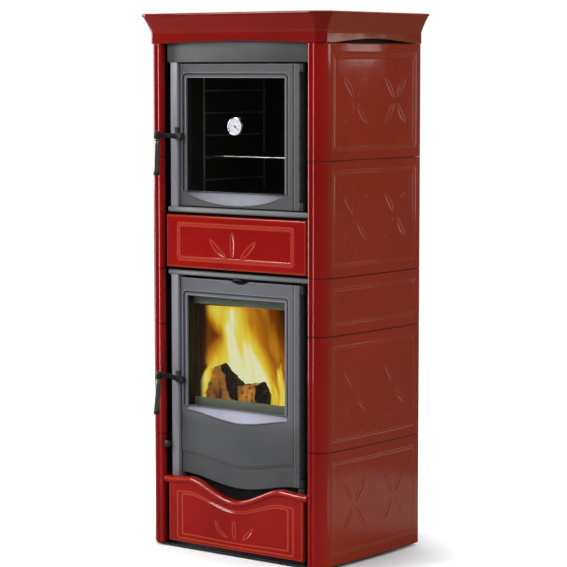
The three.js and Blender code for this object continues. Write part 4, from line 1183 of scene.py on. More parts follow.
@dataclass
class CastDoor:
    """A cast door frame with its glass opening, steps, sloping sill and hinge knuckles."""

    prefix: str
    finish: Finish
    # shine and rails: how strongly highlights are painted on the sill and on the upper rails
    shine: float = 0.45
    rails: float = 0.0
    dip: float = 0.0
    band: float = 0.0
    notch: float = 0.0
    lens: float = 0.0
    bow_drop: float = 12 * MM
    bow_sag: float = 23 * MM
    bow_half: float = 200 * MM
    step: float = 7.5 * MM
    step_depth: float = 2 * MM
    groove: float = 4.5 * MM
    groove_depth: float = 2.6 * MM
    sill_depth: float = 10 * MM
    band_depth: float = 3 * MM
    line_depth: float = 1.1 * MM
    rebate: float = 11.5 * MM
    side_rebate: float = 7 * MM
    gasket: float = 6.4 * MM
    gasket_recess: float = 40 * MM
    pocket_depth: float = 6.5 * MM
    play: float = 0.3 * MM
    edge: float = 1.6 * MM
    pitch: float = 3.2 * MM
    recess: float = 26 * MM
    thick: float = 22 * MM
    pin_x: float = 211 * MM
    pin_recess: float = 33 * MM
    knuckle: float = 7 * MM
    knuckle_height: float = 22 * MM
    notch_x: float = 4 * MM
    notch_half: float = 31 * MM
    strip: float = 183.5 * MM

    def __post_init__(self) -> None:
        low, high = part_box(f"{self.prefix}_door_frame")
        glass_low, glass_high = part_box(f"{self.prefix}_glass")
        self.half = -low.x
        self.middle = (glass_low.x + glass_high.x) / 2
        self.glass_half = (glass_high.x - glass_low.x) / 2 + self.play - self.side_rebate
        self.pivot = pivot(self.prefix)
        self.low = low.z + self.dip
        self.high = high.z
        self.glass_low = glass_low.z + self.rebate - self.play
        self.glass_high = glass_high.z - self.rebate + self.play
        self.gasket_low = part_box(f"{self.prefix}_gasket")[0].z - self.play
        self.groove_end = self.step + self.groove

    def bottom(self, x: Grid) -> Grid:
        """The height of the door's lower edge."""
        return self.low - self.dip * bell(x, self.half)

    def sill(self, x: Grid) -> Grid:
        """The height where the sloping sill meets the door's face."""
        if self.lens:
            away = np.clip(np.abs(x - self.middle) / (self.glass_half + self.step), 0, 1)
            return self.glass_low - self.lens * (1 - away**2.4)
        fade = rise(np.abs(x), self.bow_half - 16 * MM, self.bow_half)
        return self.glass_low - (self.bow_drop + self.bow_sag * bell(x, self.bow_half)) * (1 - fade)

    def warp(self, x: Grid, z: Grid) -> Grid:
        """The true height of a point of the flat grid: waves below, and the notch above."""
        low_share = 1 - rise(z, self.low + self.band + 12 * MM, self.glass_low - 50 * MM)
        arc = 0.0
        if self.notch:
            radius = (self.notch_half**2 + self.notch**2) / (2 * self.notch)
            inside = np.clip(radius**2 - (x - self.notch_x) ** 2, 0, None)
            arc = np.maximum(np.sqrt(inside) - radius + self.notch, 0)
        return z - self.dip * bell(x, self.half) * low_share - arc * rise(z, self.high - 24 * MM, self.high)

    def opening(self, across: float = 0.0, up: float = 0.0) -> tuple[float, float, float, float]:
        """The glass opening, grown across and upwards."""
        half = self.glass_half + across
        return self.middle - half, self.middle + half, self.glass_low - up, self.glass_high + up

    def gap(self, x: Grid, z: Grid) -> Grid:
        """The distance outside the glass opening."""
        return frame_distance(x, z, self.opening())

    def above(self, z: Grid) -> Grid:
        """Where the steps round the glass run, which end at the sill."""
        return z > self.glass_low - 1 * MM

    def over_sill(self, x: Grid) -> Grid:
        """1 between the two ends of the sill, else 0."""
        left, right = self.opening()[:2]
        end = right + self.step
        return rise(x, left - 0.5 * MM, left + 0.5 * MM) * (1 - rise(x, end - 1 * MM, end))

    def inside(self, x: Grid, z: Grid) -> Grid:
        """The distance inside the door's outline."""
        return np.minimum(self.half - np.abs(x), np.minimum(self.high - z, z - self.bottom(x)))

    def front(self, x: Grid, z: Grid) -> Grid:
        """The door's cast face."""
        gap, above = self.gap(x, z), self.above(z)
        step = self.step_depth * (1 - rise(gap, self.step, self.step + 0.8 * MM)) * above
        valley = rise(gap, self.step - 0.4 * MM, self.step + 0.6 * MM)
        valley = valley * (1 - rise(gap, self.groove_end - 1 * MM, self.groove_end))
        groove = valley * (self.step_depth + self.groove_depth) * above
        slope = (self.glass_low - z) / np.maximum(self.glass_low - self.sill(x), 0.1 * MM)
        scoop = self.sill_depth * np.clip(1 - slope, 0, 1) * self.over_sill(x) * ~above
        line = ridge(x - self.strip, 0.9 * MM) * 1.0 * MM
        depth = np.maximum.reduce([step, groove, scoop, line, eased(self.inside(x, z), self.edge)])
        if self.band:
            over = z - self.bottom(x) - self.band
            band = self.band_depth * (1 - rise(over, -1.6 * MM, 0))
            depth = depth + (band + self.line_depth * ridge(over - 1.5 * MM, 1.2 * MM)) * (x < self.strip)
        return behind(self.recess) + depth

    def back(self, x: Grid, z: Grid) -> Grid:
        """The door's back, with the rebate for the glass, the gasket's groove and the latch pocket."""
        rear = behind(self.recess + self.thick)
        seat = self.opening(self.side_rebate, self.rebate)
        away = frame_distance(x, z, (*seat[:2], self.gasket_low, seat[3]))
        groove = (away < 0.1 * MM) & (away > -self.gasket - 0.7 * MM)
        reach, height = self.pivot
        pocket = (x < reach + 6.4 * MM) & (z > height - 8 * MM) & (z < height + 24 * MM)
        y = np.where(pocket, rear - self.pocket_depth, rear)
        y = np.where(groove, behind(self.gasket_recess), y)
        glass = frame_distance(x, z, seat) < 0.1 * MM
        return np.where(glass, behind(self.recess + self.sill_depth) - self.play, y)

    def worn_and_highlit(self, x: Grid, z: Grid) -> Grid:
        """Where the paint is rubbed at the outer edges, with painted highlights along the edge of the sill and
        round the glass.
        """
        over = ridge(z - self.sill(x), 1.2 * MM) * self.over_sill(x)
        gap = self.gap(x, z)
        ring = ridge(gap, 1.8 * MM) + ridge(gap - self.groove_end - 0.8 * MM, 1.2 * MM)
        return np.clip(ridge(self.inside(x, z), 1.6 * MM) + 0.8 * over + ring * self.above(z), 0, 1)

    def sooty(self, x: Grid, z: Grid) -> Grid:
        """Painted shade: black in the groove round the glass, above the band, under the sill and along the latch
        edge.
        """
        groove = ridge(self.gap(x, z) - self.step - self.groove / 2, self.groove / 2.4) * self.above(z)
        banded = (x < self.strip) * (self.band > 0)
        line = 0.6 * ridge(z - self.bottom(x) - self.band - 1 * MM, 1.4 * MM) * banded
        under = 0.9 * ridge(z - self.sill(x) + 1.4 * MM, 1.7 * MM) * self.over_sill(x)
        return np.clip(0.7 * groove + line + under + ridge(x + self.half - 1.2 * MM, 1.6 * MM), 0, 1)

    def bare(self, x: Grid, z: Grid) -> Grid:
        """Painted highlights: on the sloping sill, on the rings round the glass and on the upper rails."""
        sill = self.sill(x)
        inside = rise(z, sill + 0.4 * MM, sill + 1.6 * MM) * self.over_sill(x)
        inside = inside * (1 - rise(z, self.glass_low - 2.5 * MM, self.glass_low - 1 * MM))
        gap = self.gap(x, z)
        ring = ridge(gap - 0.6 * MM, 1.4 * MM) + ridge(gap - self.groove_end - 1 * MM, 1.2 * MM)
        rails = self.rails * rise(z, self.glass_low - 60 * MM, self.glass_low)
        return np.maximum(self.shine * inside * (0.45 + 0.55 * bell(x, 0.9 * self.bow_half)),
                          rails + 0.45 * np.clip(ring, 0, 1) * self.above(z))

    def grid(self) -> tuple[Grid, Grid]:
        """The grid lines across and upwards, which fall on every edge of the casting."""
        rim = [*mm(0, 0.3, 0.9), self.edge]
        steps = [self.step + d for d in mm(-0.4, 0, 0.6)] + [self.groove_end - 1 * MM, self.groove_end]
        seat = [self.side_rebate, self.side_rebate + 0.3 * MM, self.side_rebate - self.gasket - 0.6 * MM, 0]
        across = [s * (self.half - e) for s in (-1, 1) for e in rim]
        across += [self.middle + s * (self.glass_half + e) for s in (-1, 1) for e in steps + seat]
        across += [self.strip + d for d in mm(-1.4, -0.7, 0, 0.7, 1.4)]
        across += [-self.strip, self.pivot[0] + 6.1 * MM, self.pivot[0] + 6.4 * MM]
        up = [self.low + e for e in rim] + [self.high - e for e in rim]
        up += [self.glass_low, self.glass_low - 1.2 * MM, self.glass_high, self.glass_low - self.rebate]
        up += [self.glass_high + e for e in steps + [self.rebate]]
        up += [self.pivot[1] + d for d in mm(-8, -8.3, 24, 24.3)]
        if self.band:
            up += [self.low + self.band + d for d in mm(-1.6, 0, 1.6, 3.2)]
            up += [self.gasket_low, self.gasket_low + 8.8 * MM]
        deepest = self.lens or self.bow_drop + self.bow_sag
        up += [self.glass_low - deepest * share for share in np.linspace(0, 1, 19)]
        return grid_lines(across, self.pitch), grid_lines(up, self.pitch)

    def build(self) -> None:
        """Builds the frame with its knuckles."""
        shape = Shape("thin", "bare", "soot")
        shape.slab(*self.grid(), self.front, self.back, self.warp, self.opening(),
                   thin=self.worn_and_highlit, bare=self.bare, soot=self.sooty)
        for bottom in (self.low, self.high - self.knuckle_height):
            self.add_knuckle(shape, bottom)
        door = f"{self.prefix}_door"
        shape.piece(f"{door}_cast", door, self.finish, [f"{door}_frame"], 38)

    def add_knuckle(self, shape: Shape, bottom: float) -> None:
        """Adds one hinge knuckle with its web."""
        bore, bevel, top = 3.3 * MM, 0.8 * MM, self.knuckle_height
        profile = [
            (bore, 0), (self.knuckle - bevel, 0), (self.knuckle, bevel), (self.knuckle, top - bevel),
            (self.knuckle - bevel, top), (bore, top), (bore, 0),
        ]
        made = shape.turned(profile, Matrix.Translation((self.pin_x, behind(self.pin_recess), bottom)), 40)
        low = (self.half - 1 * MM, behind(self.recess), bottom + 0.5 * MM)
        high = (self.pin_x - 3.6 * MM, behind(self.pin_recess + 3.5 * MM), bottom + top - 0.5 * MM)
        made += shape.block(low, high, bevel)
        # painted shade: the knuckles are darkened as if in shadow
        for vert in made:
            vert[shape.marks["soot"]] = 0.8


@dataclass
class DoorHandle:
    """A handle that turns on its boss, with a bent arm and a hanging grip."""

    prefix: str
    tilt: float = 0.0
    climb: float = 3 * MM
    climb_end: float = 0.7
    lean: float = 2.0
    reach: float = 34 * MM
    straight: float = 18 * MM
    boss_recess: float = 11 * MM
    turn_recess: float = -7 * MM
    grip_recess: float = -35 * MM
    arm_height: float = 16 * MM
    arm_thick: float = 8 * MM
    waist: float = 0.18
    squareness: float = 0.45
    boss: float = 9.5 * MM
    socket: float = 9 * MM
    grip_length: float = 98 * MM

    def __post_init__(self) -> None:
        x, z = pivot(self.prefix)
        self.place = Matrix.Translation((x, 0, z)) @ turn(self.tilt, "Y")
        self.end = Vector((-self.reach, behind(self.grip_recess), 0))
        self.hang = Matrix.Translation(self.end + Vector((0, 0, self.climb))) @ turn(self.lean, "Y")

    def path(self, share: float) -> Vector:
        """A point of the arm's middle line."""
        start = behind(self.boss_recess + self.arm_thick / 2)
        points = [
            Vector((0, start, 0)), Vector((-self.straight, start, 0)),
            Vector((-self.reach, behind(self.turn_recess), 0)), self.end,
        ]
        rest = 1 - share
        weights = (rest**3, 3 * rest**2 * share, 3 * rest * share**2, share**3)
        lift = Vector((0, 0, self.climb * min(1.0, share / self.climb_end)))
        return sum((w * p for w, p in zip(weights, points)), lift)

    def add_arm(self, shape: Shape) -> None:
        """Sweeps a rounded bar along the path."""
        rows = []
        for share in np.linspace(0, 1, 25).tolist():
            along = self.path(min(share + 0.01, 1)) - self.path(max(share - 0.01, 0))
            side = Vector((-along.y, along.x, 0)).normalized()
            height = self.arm_height * (1 - self.waist * math.sin(math.pi * share))
            row = []
            for angle in np.linspace(0, math.tau, 24, endpoint=False).tolist():
                across, up = (math.copysign(abs(part) ** self.squareness, part) / 2
                              for part in (math.cos(angle), math.sin(angle)))
                spot = self.path(share) + side * across * self.arm_thick + Vector((0, 0, up * height))
                row.append(tuple(spot))
            rows.append(row)
        shape.tube(np.array(rows))

    def add(self, shape: Shape, part: str, finish: Finish, *replaced: str) -> None:
        """Carries a shape to the handle's place and makes it a piece."""
        handle = f"{self.prefix}_handle"
        shape.bm.transform(self.place)
        shape.piece(f"{handle}_{part}", handle, finish, [f"{handle}_{node}" for node in replaced], 45)

    def build(self) -> None:
        """Builds the arm with its boss and socket, and the grip with its ferrule and end cap."""
        boss, socket = self.boss, self.socket
        boss_back = behind(26 * MM) - 0.3 * MM
        depth = boss_back - behind(self.boss_recess)
        low = -self.arm_height / 2
        arm = Shape("thin")
        self.add_arm(arm)
        arm.turned([
            (0, 0), (boss, 0), (boss, depth - 2 * MM), (boss - 2 * MM, depth), (4 * MM, depth),
            (3.4 * MM, depth - 0.8 * MM), (0, depth - 0.8 * MM),
        ], Matrix.Translation((0, boss_back, 0)) @ turn(90, "X"))
        arm.turned([
            (0, low), (socket - 1 * MM, low), (socket, low + 1 * MM), (socket, 6 * MM),
            (socket - 1 * MM, 8.5 * MM), (5.4 * MM, 11.4 * MM), (0, 12 * MM),
        ], self.hang)
        self.add(arm, "arm_forged", STEEL, "arm")
        top = low - 0.3 * MM
        end = top - self.grip_length
        taper = [((6.8 + 1.2 * share**0.8) * MM, top - 7 * MM - (self.grip_length - 18 * MM) * share)
                 for share in np.linspace(0, 1, 12)]
        foot = taper[-1][1]
        grip = Shape("thin")
        grip.turned([
            (0, top), (6.2 * MM, top), (7 * MM, top - 0.8 * MM), (7 * MM, top - 5 * MM),
            (6.2 * MM, top - 5.8 * MM), *taper, (7.4 * MM, foot - 0.6 * MM), (0, foot - 0.6 * MM),
        ], self.hang)
        self.add(grip, "grip_turned", GRIP, "grip")
        start = foot - 0.8 * MM
        cap = Shape("thin")
        cap.turned([
            (0, start), (7.2 * MM, start), (8 * MM, start - 0.8 * MM), (8 * MM, end + 3 * MM),
            (7 * MM, end + 1 * MM), (5.6 * MM, end), (0, end),
        ], self.hang)
        self.add(cap, "grip_cap", STEEL)


@dataclass
class Thermometer:
    """The round oven thermometer that is clamped through the glass."""

    body: str = "oven_door"
    rim: float = 2.5 * MM
    first: float = 225.0
    sweep: float = 270.0
    marks: int = 26
    long_marks: int = 5
    figures: tuple[int, ...] = (0, 100, 200, 300, 400, 500)
    figure_height: float = 3.6 * MM
    print_height: float = 0.05 * MM
    rest_angle: float = 35.0

    def __post_init__(self) -> None:
        self.low, self.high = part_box("thermometer_case")
        self.radius = (self.high.x - self.low.x) / 2
        self.middle = Matrix.Translation(((self.low.x + self.high.x) / 2, 0, (self.low.z + self.high.z) / 2))
        self.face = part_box("thermometer_needle")[1].y + 0.3 * MM

    def at(self, angle: float, radius: float, lift: float) -> Matrix:
        """Carries a shape to a point over the dial, with the angle in degrees and 0 to the right."""
        way = math.radians(angle)
        spot = (radius * math.cos(way), self.face - lift, radius * math.sin(way))
        return self.middle @ Matrix.Translation(spot)

    def build(self) -> None:
        """Builds the case, the dial with its scale, and the needle."""
        forward = self.middle @ turn(90, "X")
        glass, rear = (-corner.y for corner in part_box("oven_glass"))
        radius, end, front, face = self.radius, -self.high.y, -self.low.y, -self.face
        inner = radius - self.rim
        case = Shape("thin")
        case.turned([
            (0, end), (8 * MM, end), (8 * MM, rear - 0.3 * MM), (4 * MM, rear - 0.3 * MM),
            (4 * MM, glass + 0.3 * MM), (radius - 1 * MM, glass + 0.3 * MM), (radius, glass + 1.3 * MM),
            (radius, front - 1.6 * MM), (radius - 0.7 * MM, front - 0.3 * MM), (radius - 1.6 * MM, front),
            (inner, front - 0.9 * MM), (inner, face), (0, face),
        ], forward, 72)
        case.piece("thermometer_rim", self.body, CHROME, ["thermometer_case"], 40)
        dial = Shape("thin")
        low, high, inner = face - 0.4 * MM, face + self.print_height, inner - 0.1 * MM
        dial.turned([(0, low), (inner, low), (inner, high), (0, high)], forward, 72)
        dial.piece("thermometer_dial", self.body, DIAL, (), 40)
        self.build_scale()
        self.build_needle()

    def build_scale(self) -> None:
        """Adds the marks and the figures round the dial."""
        scale = Shape("thin")
        for i in range(self.marks):
            angle = self.first - self.sweep * i / (self.marks - 1)
            length, thick = mm(3.0, 0.5) if i % self.long_marks == 0 else mm(1.8, 0.28)
            middle = self.radius - self.rim - 1.2 * MM - length / 2
            place = self.at(angle, middle, 0.1 * MM) @ turn(-angle, "Y")
            corner = Vector((length / 2, self.print_height, thick / 2))
            scale.block(-corner, corner, matrix=place)
        scale.piece("thermometer_marks", self.body, INK, (), 40)
        for i, figure in enumerate(self.figures):
            angle = self.first - self.sweep * i / (len(self.figures) - 1)
            self.add_figure(str(figure), self.at(angle, self.radius * 0.56, self.print_height))

    def add_figure(self, words: str, place: Matrix) -> None:
        """Adds one plain figure to the dial, as a mesh."""
        curve = bpy.data.curves.new(f"figure_{words}", "FONT")
        curve.body = words
        curve.size = self.figure_height
        curve.extrude = self.print_height
        curve.align_x = "CENTER"
        curve.align_y = "CENTER"
        drawn = add_object(f"figure_{words}", curve)
        bpy.context.view_layer.update()
        mesh = bpy.data.meshes.new_from_object(drawn)
        bpy.data.objects.remove(drawn)
        mesh.transform(place @ turn(90, "X"))
        add_piece(f"thermometer_figure_{words}", mesh, self.body, INK)

    def build_needle(self) -> None:
        """Builds the tapered needle with its hub."""
        needle = Shape("thin")
        front, back = self.face - 0.9 * MM, self.face - 0.3 * MM
        needle.block((-6 * MM, front, -1 * MM), (17 * MM, back, 1 * MM))
        for vert in needle.bm.verts:
            if vert.co.x > 0:
                vert.co.z *= 0.25
        top = 0.2 * MM - front
        hub = [(0, -back), (2.6 * MM, -back), (2.6 * MM, -front), (2 * MM, top), (0, top)]
        needle.turned(hub, turn(90, "X"), 32)
        needle.bm.transform(self.middle @ turn(self.rest_angle, "Y"))
        needle.piece("thermometer_needle_painted", "needle", INK, ["thermometer_needle"], 40)


# ---------------------------------------------------------------- the fire
def sampled(xs: Grid, ys: Grid, value: Callable[[float, float], float]) -> Grid:
    """The values of a function over every pair of two rows of numbers."""
    return np.array([[value(a, b) for a in xs] for b in ys])


@dataclass(frozen=True)
class LogPlan:
    """Where one log lies, its radius at its start, at two fifths and at its end, and its split faces.

    Its start and end are each the x, the distance behind the log retainer and the height over the grate.
    A split face is its angle round the log in degrees, 90 being up and 180 the front, and how far out it
    lies as a share of the radius.
    """

    start: Triple
    end: Triple
    radii: Triple
    faces: tuple[Pair, ...]


LOGS = (
    LogPlan((-0.180, 0.034, 0.048), (-0.086, 0.046, 0.088), (0.034, 0.060, 0.060),
            ((168, 0.52), (104, 0.86), (30, 0.70), (235, 0.9))),
    LogPlan((-0.056, 0.042, 0.036), (0.020, 0.042, 0.050), (0.046, 0.046, 0.046),
            ((172, 0.60), (96, 0.86), (25, 0.74), (240, 0.9))),
    LogPlan((-0.110, 0.170, 0.040), (0.120, 0.160, 0.046), (0.048, 0.047, 0.045), ((120, 0.80), (200, 0.70))),
)


@dataclass(frozen=True)
class Tongue:
    """A tongue of flame: the sheets it is on, its heat, and (x, height, girth) from its foot to its tip."""

    layers: tuple[int, ...]
    peak: float
    path: tuple[Triple, ...]


TONGUES = (
    Tongue((2, 3), 0.90, ((-0.064, 0.0, 0.165), (-0.068, 0.075, 0.165), (-0.072, 0.130, 0.134),
                          (-0.060, 0.205, 0.070), (-0.084, 0.245, 0.072), (-0.112, 0.290, 0.092))),
    Tongue((2, 3), 0.97, ((-0.070, 0.06, 0.085), (-0.090, 0.14, 0.052), (-0.096, 0.20, 0.030),
                          (-0.106, 0.24, 0.016))),
    Tongue((2,), 0.87, ((0.010, 0.04, 0.070), (-0.006, 0.12, 0.044), (-0.036, 0.20, 0.018))),
    Tongue((1, 2), 0.9, ((0.096, 0.0, 0.030), (0.098, 0.05, 0.022), (0.088, 0.10, 0.014),
                         (0.084, 0.13, 0.007))),
    Tongue((1, 2), 0.8, ((0.060, 0.0, 0.022), (0.066, 0.04, 0.014), (0.060, 0.075, 0.008))),
    Tongue((1, 2), 0.88, ((-0.176, 0.0, 0.040), (-0.172, 0.05, 0.032), (-0.154, 0.09, 0.026),
                          (-0.138, 0.14, 0.014))),
    Tongue((2, 3), 0.40, ((0.030, 0.05, 0.052), (0.010, 0.14, 0.050), (-0.002, 0.22, 0.040),
                          (-0.008, 0.29, 0.038))),
    Tongue((2,), 0.26, ((-0.150, 0.12, 0.036), (-0.172, 0.20, 0.036), (-0.176, 0.27, 0.030))),
)


@dataclass(frozen=True)
class Sheet:
    """A sheet of flame: how far its top is behind the retainer, how much farther its foot, and its looks.

    Warmth is how hot it is beside the hottest, and clear is the heat below which it can't be seen.
    """

    gap: float
    lean: float
    warmth: float
    clear: float


SHEETS = (Sheet(0.016, 0.0, 1.0, 0.5), Sheet(0.028, 0.075, 1.0, 0.04), Sheet(0.12, 0.03, 0.6, 0.04))


@dataclass
class Fire:
    """The burning logs, their ash bed and the flames."""

    seed: int = 7
    around: int = 96
    furrows: int = 9
    half: float = 179 * MM
    height: float = 286 * MM
    lean_heights: Pair = (30 * MM, 140 * MM)
    slant: float = 0.787
    flicker: float = 22 * MM
    sway: float = 10 * MM
    ripple: float = 8 * MM
    wisps: float = 0.22
    fade: float = 20 * MM
    softness: float = 0.36
    densest: float = 0.97

    def __post_init__(self) -> None:
        self.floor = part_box("fire_grate")[1].z
        self.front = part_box("log_retainer")[1].y

    def log_ring(self, number: int, plan: LogPlan, share: float, shrink: float) -> tuple[list, list, list]:
        """One outline of a log, with how charred it is and how it glows.

        Args:
            number: the log's number, which also varies its bark.
            plan: where it lies.
            share: how far along it the outline is, from 0 to 1.
            shrink: the outline's size beside the bark's, which is under 1 on the two ends.
        Returns:
            The points, their "char" and their "ember".
        """
        start, end = (Vector((x, self.front + y, self.floor + z)) for x, y, z in (plan.start, plan.end))
        along = (end - start).normalized().to_track_quat("X", "Z").to_matrix()
        middle = start.lerp(end, share)
        offset = Vector((self.seed + 3.1 * number, 1.7, 4.2))
        thick = float(np.interp(share, (0, 0.4, 1), plan.radii)) * shrink
        outward = along @ Vector((1 if share > 0.5 else -1, 0, 0))
        gap = min(share, 1 - share)
        blunt = 1 - 0.16 * max(0.0, 1 - 22 * gap) ** 2
        row, chars, embers = [], [], []
        for angle in np.linspace(0, math.tau, self.around, endpoint=False).tolist():
            across, up = math.cos(angle), math.sin(angle)
            nearest = min(d / max(math.cos(angle - math.radians(a)), 0.05) for a, d in plan.faces)
            split = nearest < 1
            spot = Vector((share * 3, across * 1.2 * shrink, up * 1.2 * shrink)) + offset
            rough = noise.fractal(spot * 2.4, 1.0, 2.0, 5) * (0.08 if split else 0.12)
            furrow = 0 if split else 0.08 * abs(math.sin(angle * self.furrows + 2.5 * noise.noise(spot)))
            radius = thick * min(1.0, nearest) * blunt * (1 + rough - furrow)
            point = middle + along @ Vector((0, across * radius, up * radius))
            row.append(tuple(point + outward * (1 - shrink) * (0.004 + 0.016 * noise.noise(spot * 5))))
            burnt = 0.9 * max(0.0, 1 - 7 * gap) - 0.5 * (shrink < 0.9) + 0.45 * noise.noise(spot * 3)
            chars.append((0.05 if split else 0.6) + burnt)
            embers.append(0.8 - (row[-1][2] - self.floor) / 0.06)
        return row, chars, embers

    def add_log(self, number: int, plan: LogPlan) -> None:
        """Builds one split log with burnt ends."""
        ends = [0.05, 0.25, 0.5, 0.75, 0.92]
        stations = [(0.0, size) for size in ends] + [(share, 1.0) for share in np.linspace(0, 1, 70).tolist()]
        stations += [(1.0, size) for size in reversed(ends)]
        rings = zip(*(self.log_ring(number, plan, *station) for station in stations))
        points, chars, embers = (np.array(values) for values in rings)
        points[:, :, 2] = np.maximum(points[:, :, 2], self.floor + 4 * MM)
        shape = Shape("char", "ember")
        shape.tube(points, char=np.clip(chars, 0, 1), ember=np.clip(embers, 0, 1))
        shape.piece(f"log_{number}", STOVE, BurningWood(), (), 40)

    def add_ash(self) -> None:
        """Lays a thin bed of ash and embers on the grate."""
        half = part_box("log_retainer")[1].x - 6 * MM
        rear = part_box("lining_back")[0].y
        xs = np.linspace(-half, half, 90)
        ys = np.linspace(self.front + 3 * MM, rear - 4 * MM, 70)
        x, y = np.meshgrid(xs, ys)
        lumps = sampled(xs, ys, lambda a, b: noise.fractal((a * 30, b * 30, self.seed), 1.0, 2.0, 4))
        edge = np.minimum(half - np.abs(x), np.minimum(y - ys[0], ys[-1] - y))
        bed = self.floor + 1 * MM + (9 * MM + 5 * MM * lumps) * rise(edge, 0, 25 * MM)
        shape = Shape("thin")
        for vert in shape.thicken(shape.sheet(np.stack([x, y, bed], -1))):
            vert.co.z = self.floor + 0.4 * MM
        shape.piece("ash_bed", STOVE, Ash(), (), 60)

    def heat(self, x: Grid, z: Grid, layer: int) -> Grid:
        """How hot the fire is over a layer's x and height over the grate, from 0 to about 1."""
        total = np.zeros_like(x)
        for tongue in TONGUES:
            if layer in tongue.layers:
                places, heights, girths = zip(*tongue.path)
                centre = np.interp(z, heights, places) + 0.004 * np.sin(40 * z + 2.1 * layer + 30 * places[0])
                foot, tip = heights[0], heights[-1]
                ends = rise(z, foot - 0.02, foot) * (1 - rise(z, tip - 0.02, tip + 0.05))
                away = np.abs((x - centre) / np.interp(z, heights, girths))
                total += (tongue.peak * np.exp(-away**3.0) * ends) ** 4
        return total**0.25

    def add_flames(self, layer: int, sheet: Sheet) -> None:
        """Builds one sheet of flame, which rises behind the logs and leans forward over them.

        Args:
            layer: the sheet's number, which also varies its shape.
            sheet: where it stands and how warm it is.
        """
        xs = np.linspace(-self.half, self.half, 170)
        zs = np.linspace(0.0, self.height, 150)
        x, z = np.meshgrid(xs, zs)
        wisp = sampled(xs, zs, lambda a, b: noise.fractal(
            (a * 30 + 4 * b + layer * 9, b * 5.0 - 0.6 * layer, 5.0 + layer), 1.1, 2.0, 4))
        lick = sampled(xs, zs, lambda a, b: noise.noise((a * 14, b * 9, 20.0 + layer * 3)))
        heat = self.heat(x + self.flicker * lick * (0.3 + z / self.height), z, layer)
        heat = heat * (1.0 + self.wisps * wisp) * sheet.warmth
        back = sheet.lean * (1 - rise(z, *self.lean_heights))
        across = x - self.slant * back
        edge = rise(self.half - np.abs(across), 0, self.fade)
        body = rise(heat, sheet.clear, sheet.clear + self.softness) * self.densest * edge
        depth = self.front + sheet.gap + back + self.sway * np.sin(11 * x + layer) + self.ripple * lick
        points = np.stack([np.clip(across, -self.half, self.half), depth, self.floor + 2 * MM + z], -1)
        shape = Shape("glow", "body")
        shape.sheet(points, glow=np.clip(heat, 0, 1), body=np.clip(body, 0, 1))
        shape.piece(f"flames_{layer}", STOVE, Flame(), (), 180)

    def build(self) -> None:
        """Builds the ash, the logs and the flames."""
        self.add_ash()
        for number, plan in enumerate(LOGS, 1):
            self.add_log(number, plan)
        for layer, sheet in enumerate(SHEETS, 1):
            self.add_flames(layer, sheet)


# ---------------------------------------------------------------- the iron and steel around
@dataclass
class Ironwork:
    """The plainer parts, each of which keeps its own shape with softened edges.

    A row holds a finish, the radius of the edges in millimetres and the nodes.
    """

    rows: tuple[tuple[Finish, float, tuple[str, ...]], ...] = (
        (GREY_IRON, 0.8, ("upper_front_panel",)),
        (LIT_LEDGE_IRON, 0.8, ("upper_ledge", "lower_ledge")),
        (SATIN_IRON, 0.6, ("front_frame",)),
        (DARK_IRON, 0.4, ("top_plate", "flue_collar")),
        (INNER_IRON, 0.6, ("lining_left", "lining_right", "lining_back", "fire_grate")),
        (FIRELIT_BAR_IRON, 1.2, ("log_retainer", "air_wash_bar")),
        (BRICK, 1.2, ("baffle",)),
        (STEEL, 0.4, ("base_frame", "firebox_shell", "oven_box", "ash_pan", "foot_front_left",
                      "foot_front_right", "foot_rear_left", "foot_rear_right")),
    )

    @staticmethod
    def shaded(spot: Vector) -> bool:
        """Whether a face of the front frame lies inside or off the bright stile, where its shade is painted as
        black steel.
        """
        return spot.y > behind(45 * MM) or spot.x > 150 * MM

    def build(self) -> None:
        """Dresses the ledges, the frame and the inner parts."""
        for finish, edge, nodes in self.rows:
            for node in nodes:
                dark = self.shaded if node == "front_frame" else None
                refined(node, STOVE, finish, edge * MM, dark=dark)


@dataclass
class OvenFittings:
    """The chrome rack and its ladder rails."""

    smooth: float = 50.0

    def build(self) -> None:
        """Dresses the rack and the rails."""
        refined("oven_rack", STOVE, CHROME, 0.0, self.smooth)
        for side in Side:
            refined(f"oven_rail_{side.word}", STOVE, DULL_WIRE, 0.0, self.smooth)


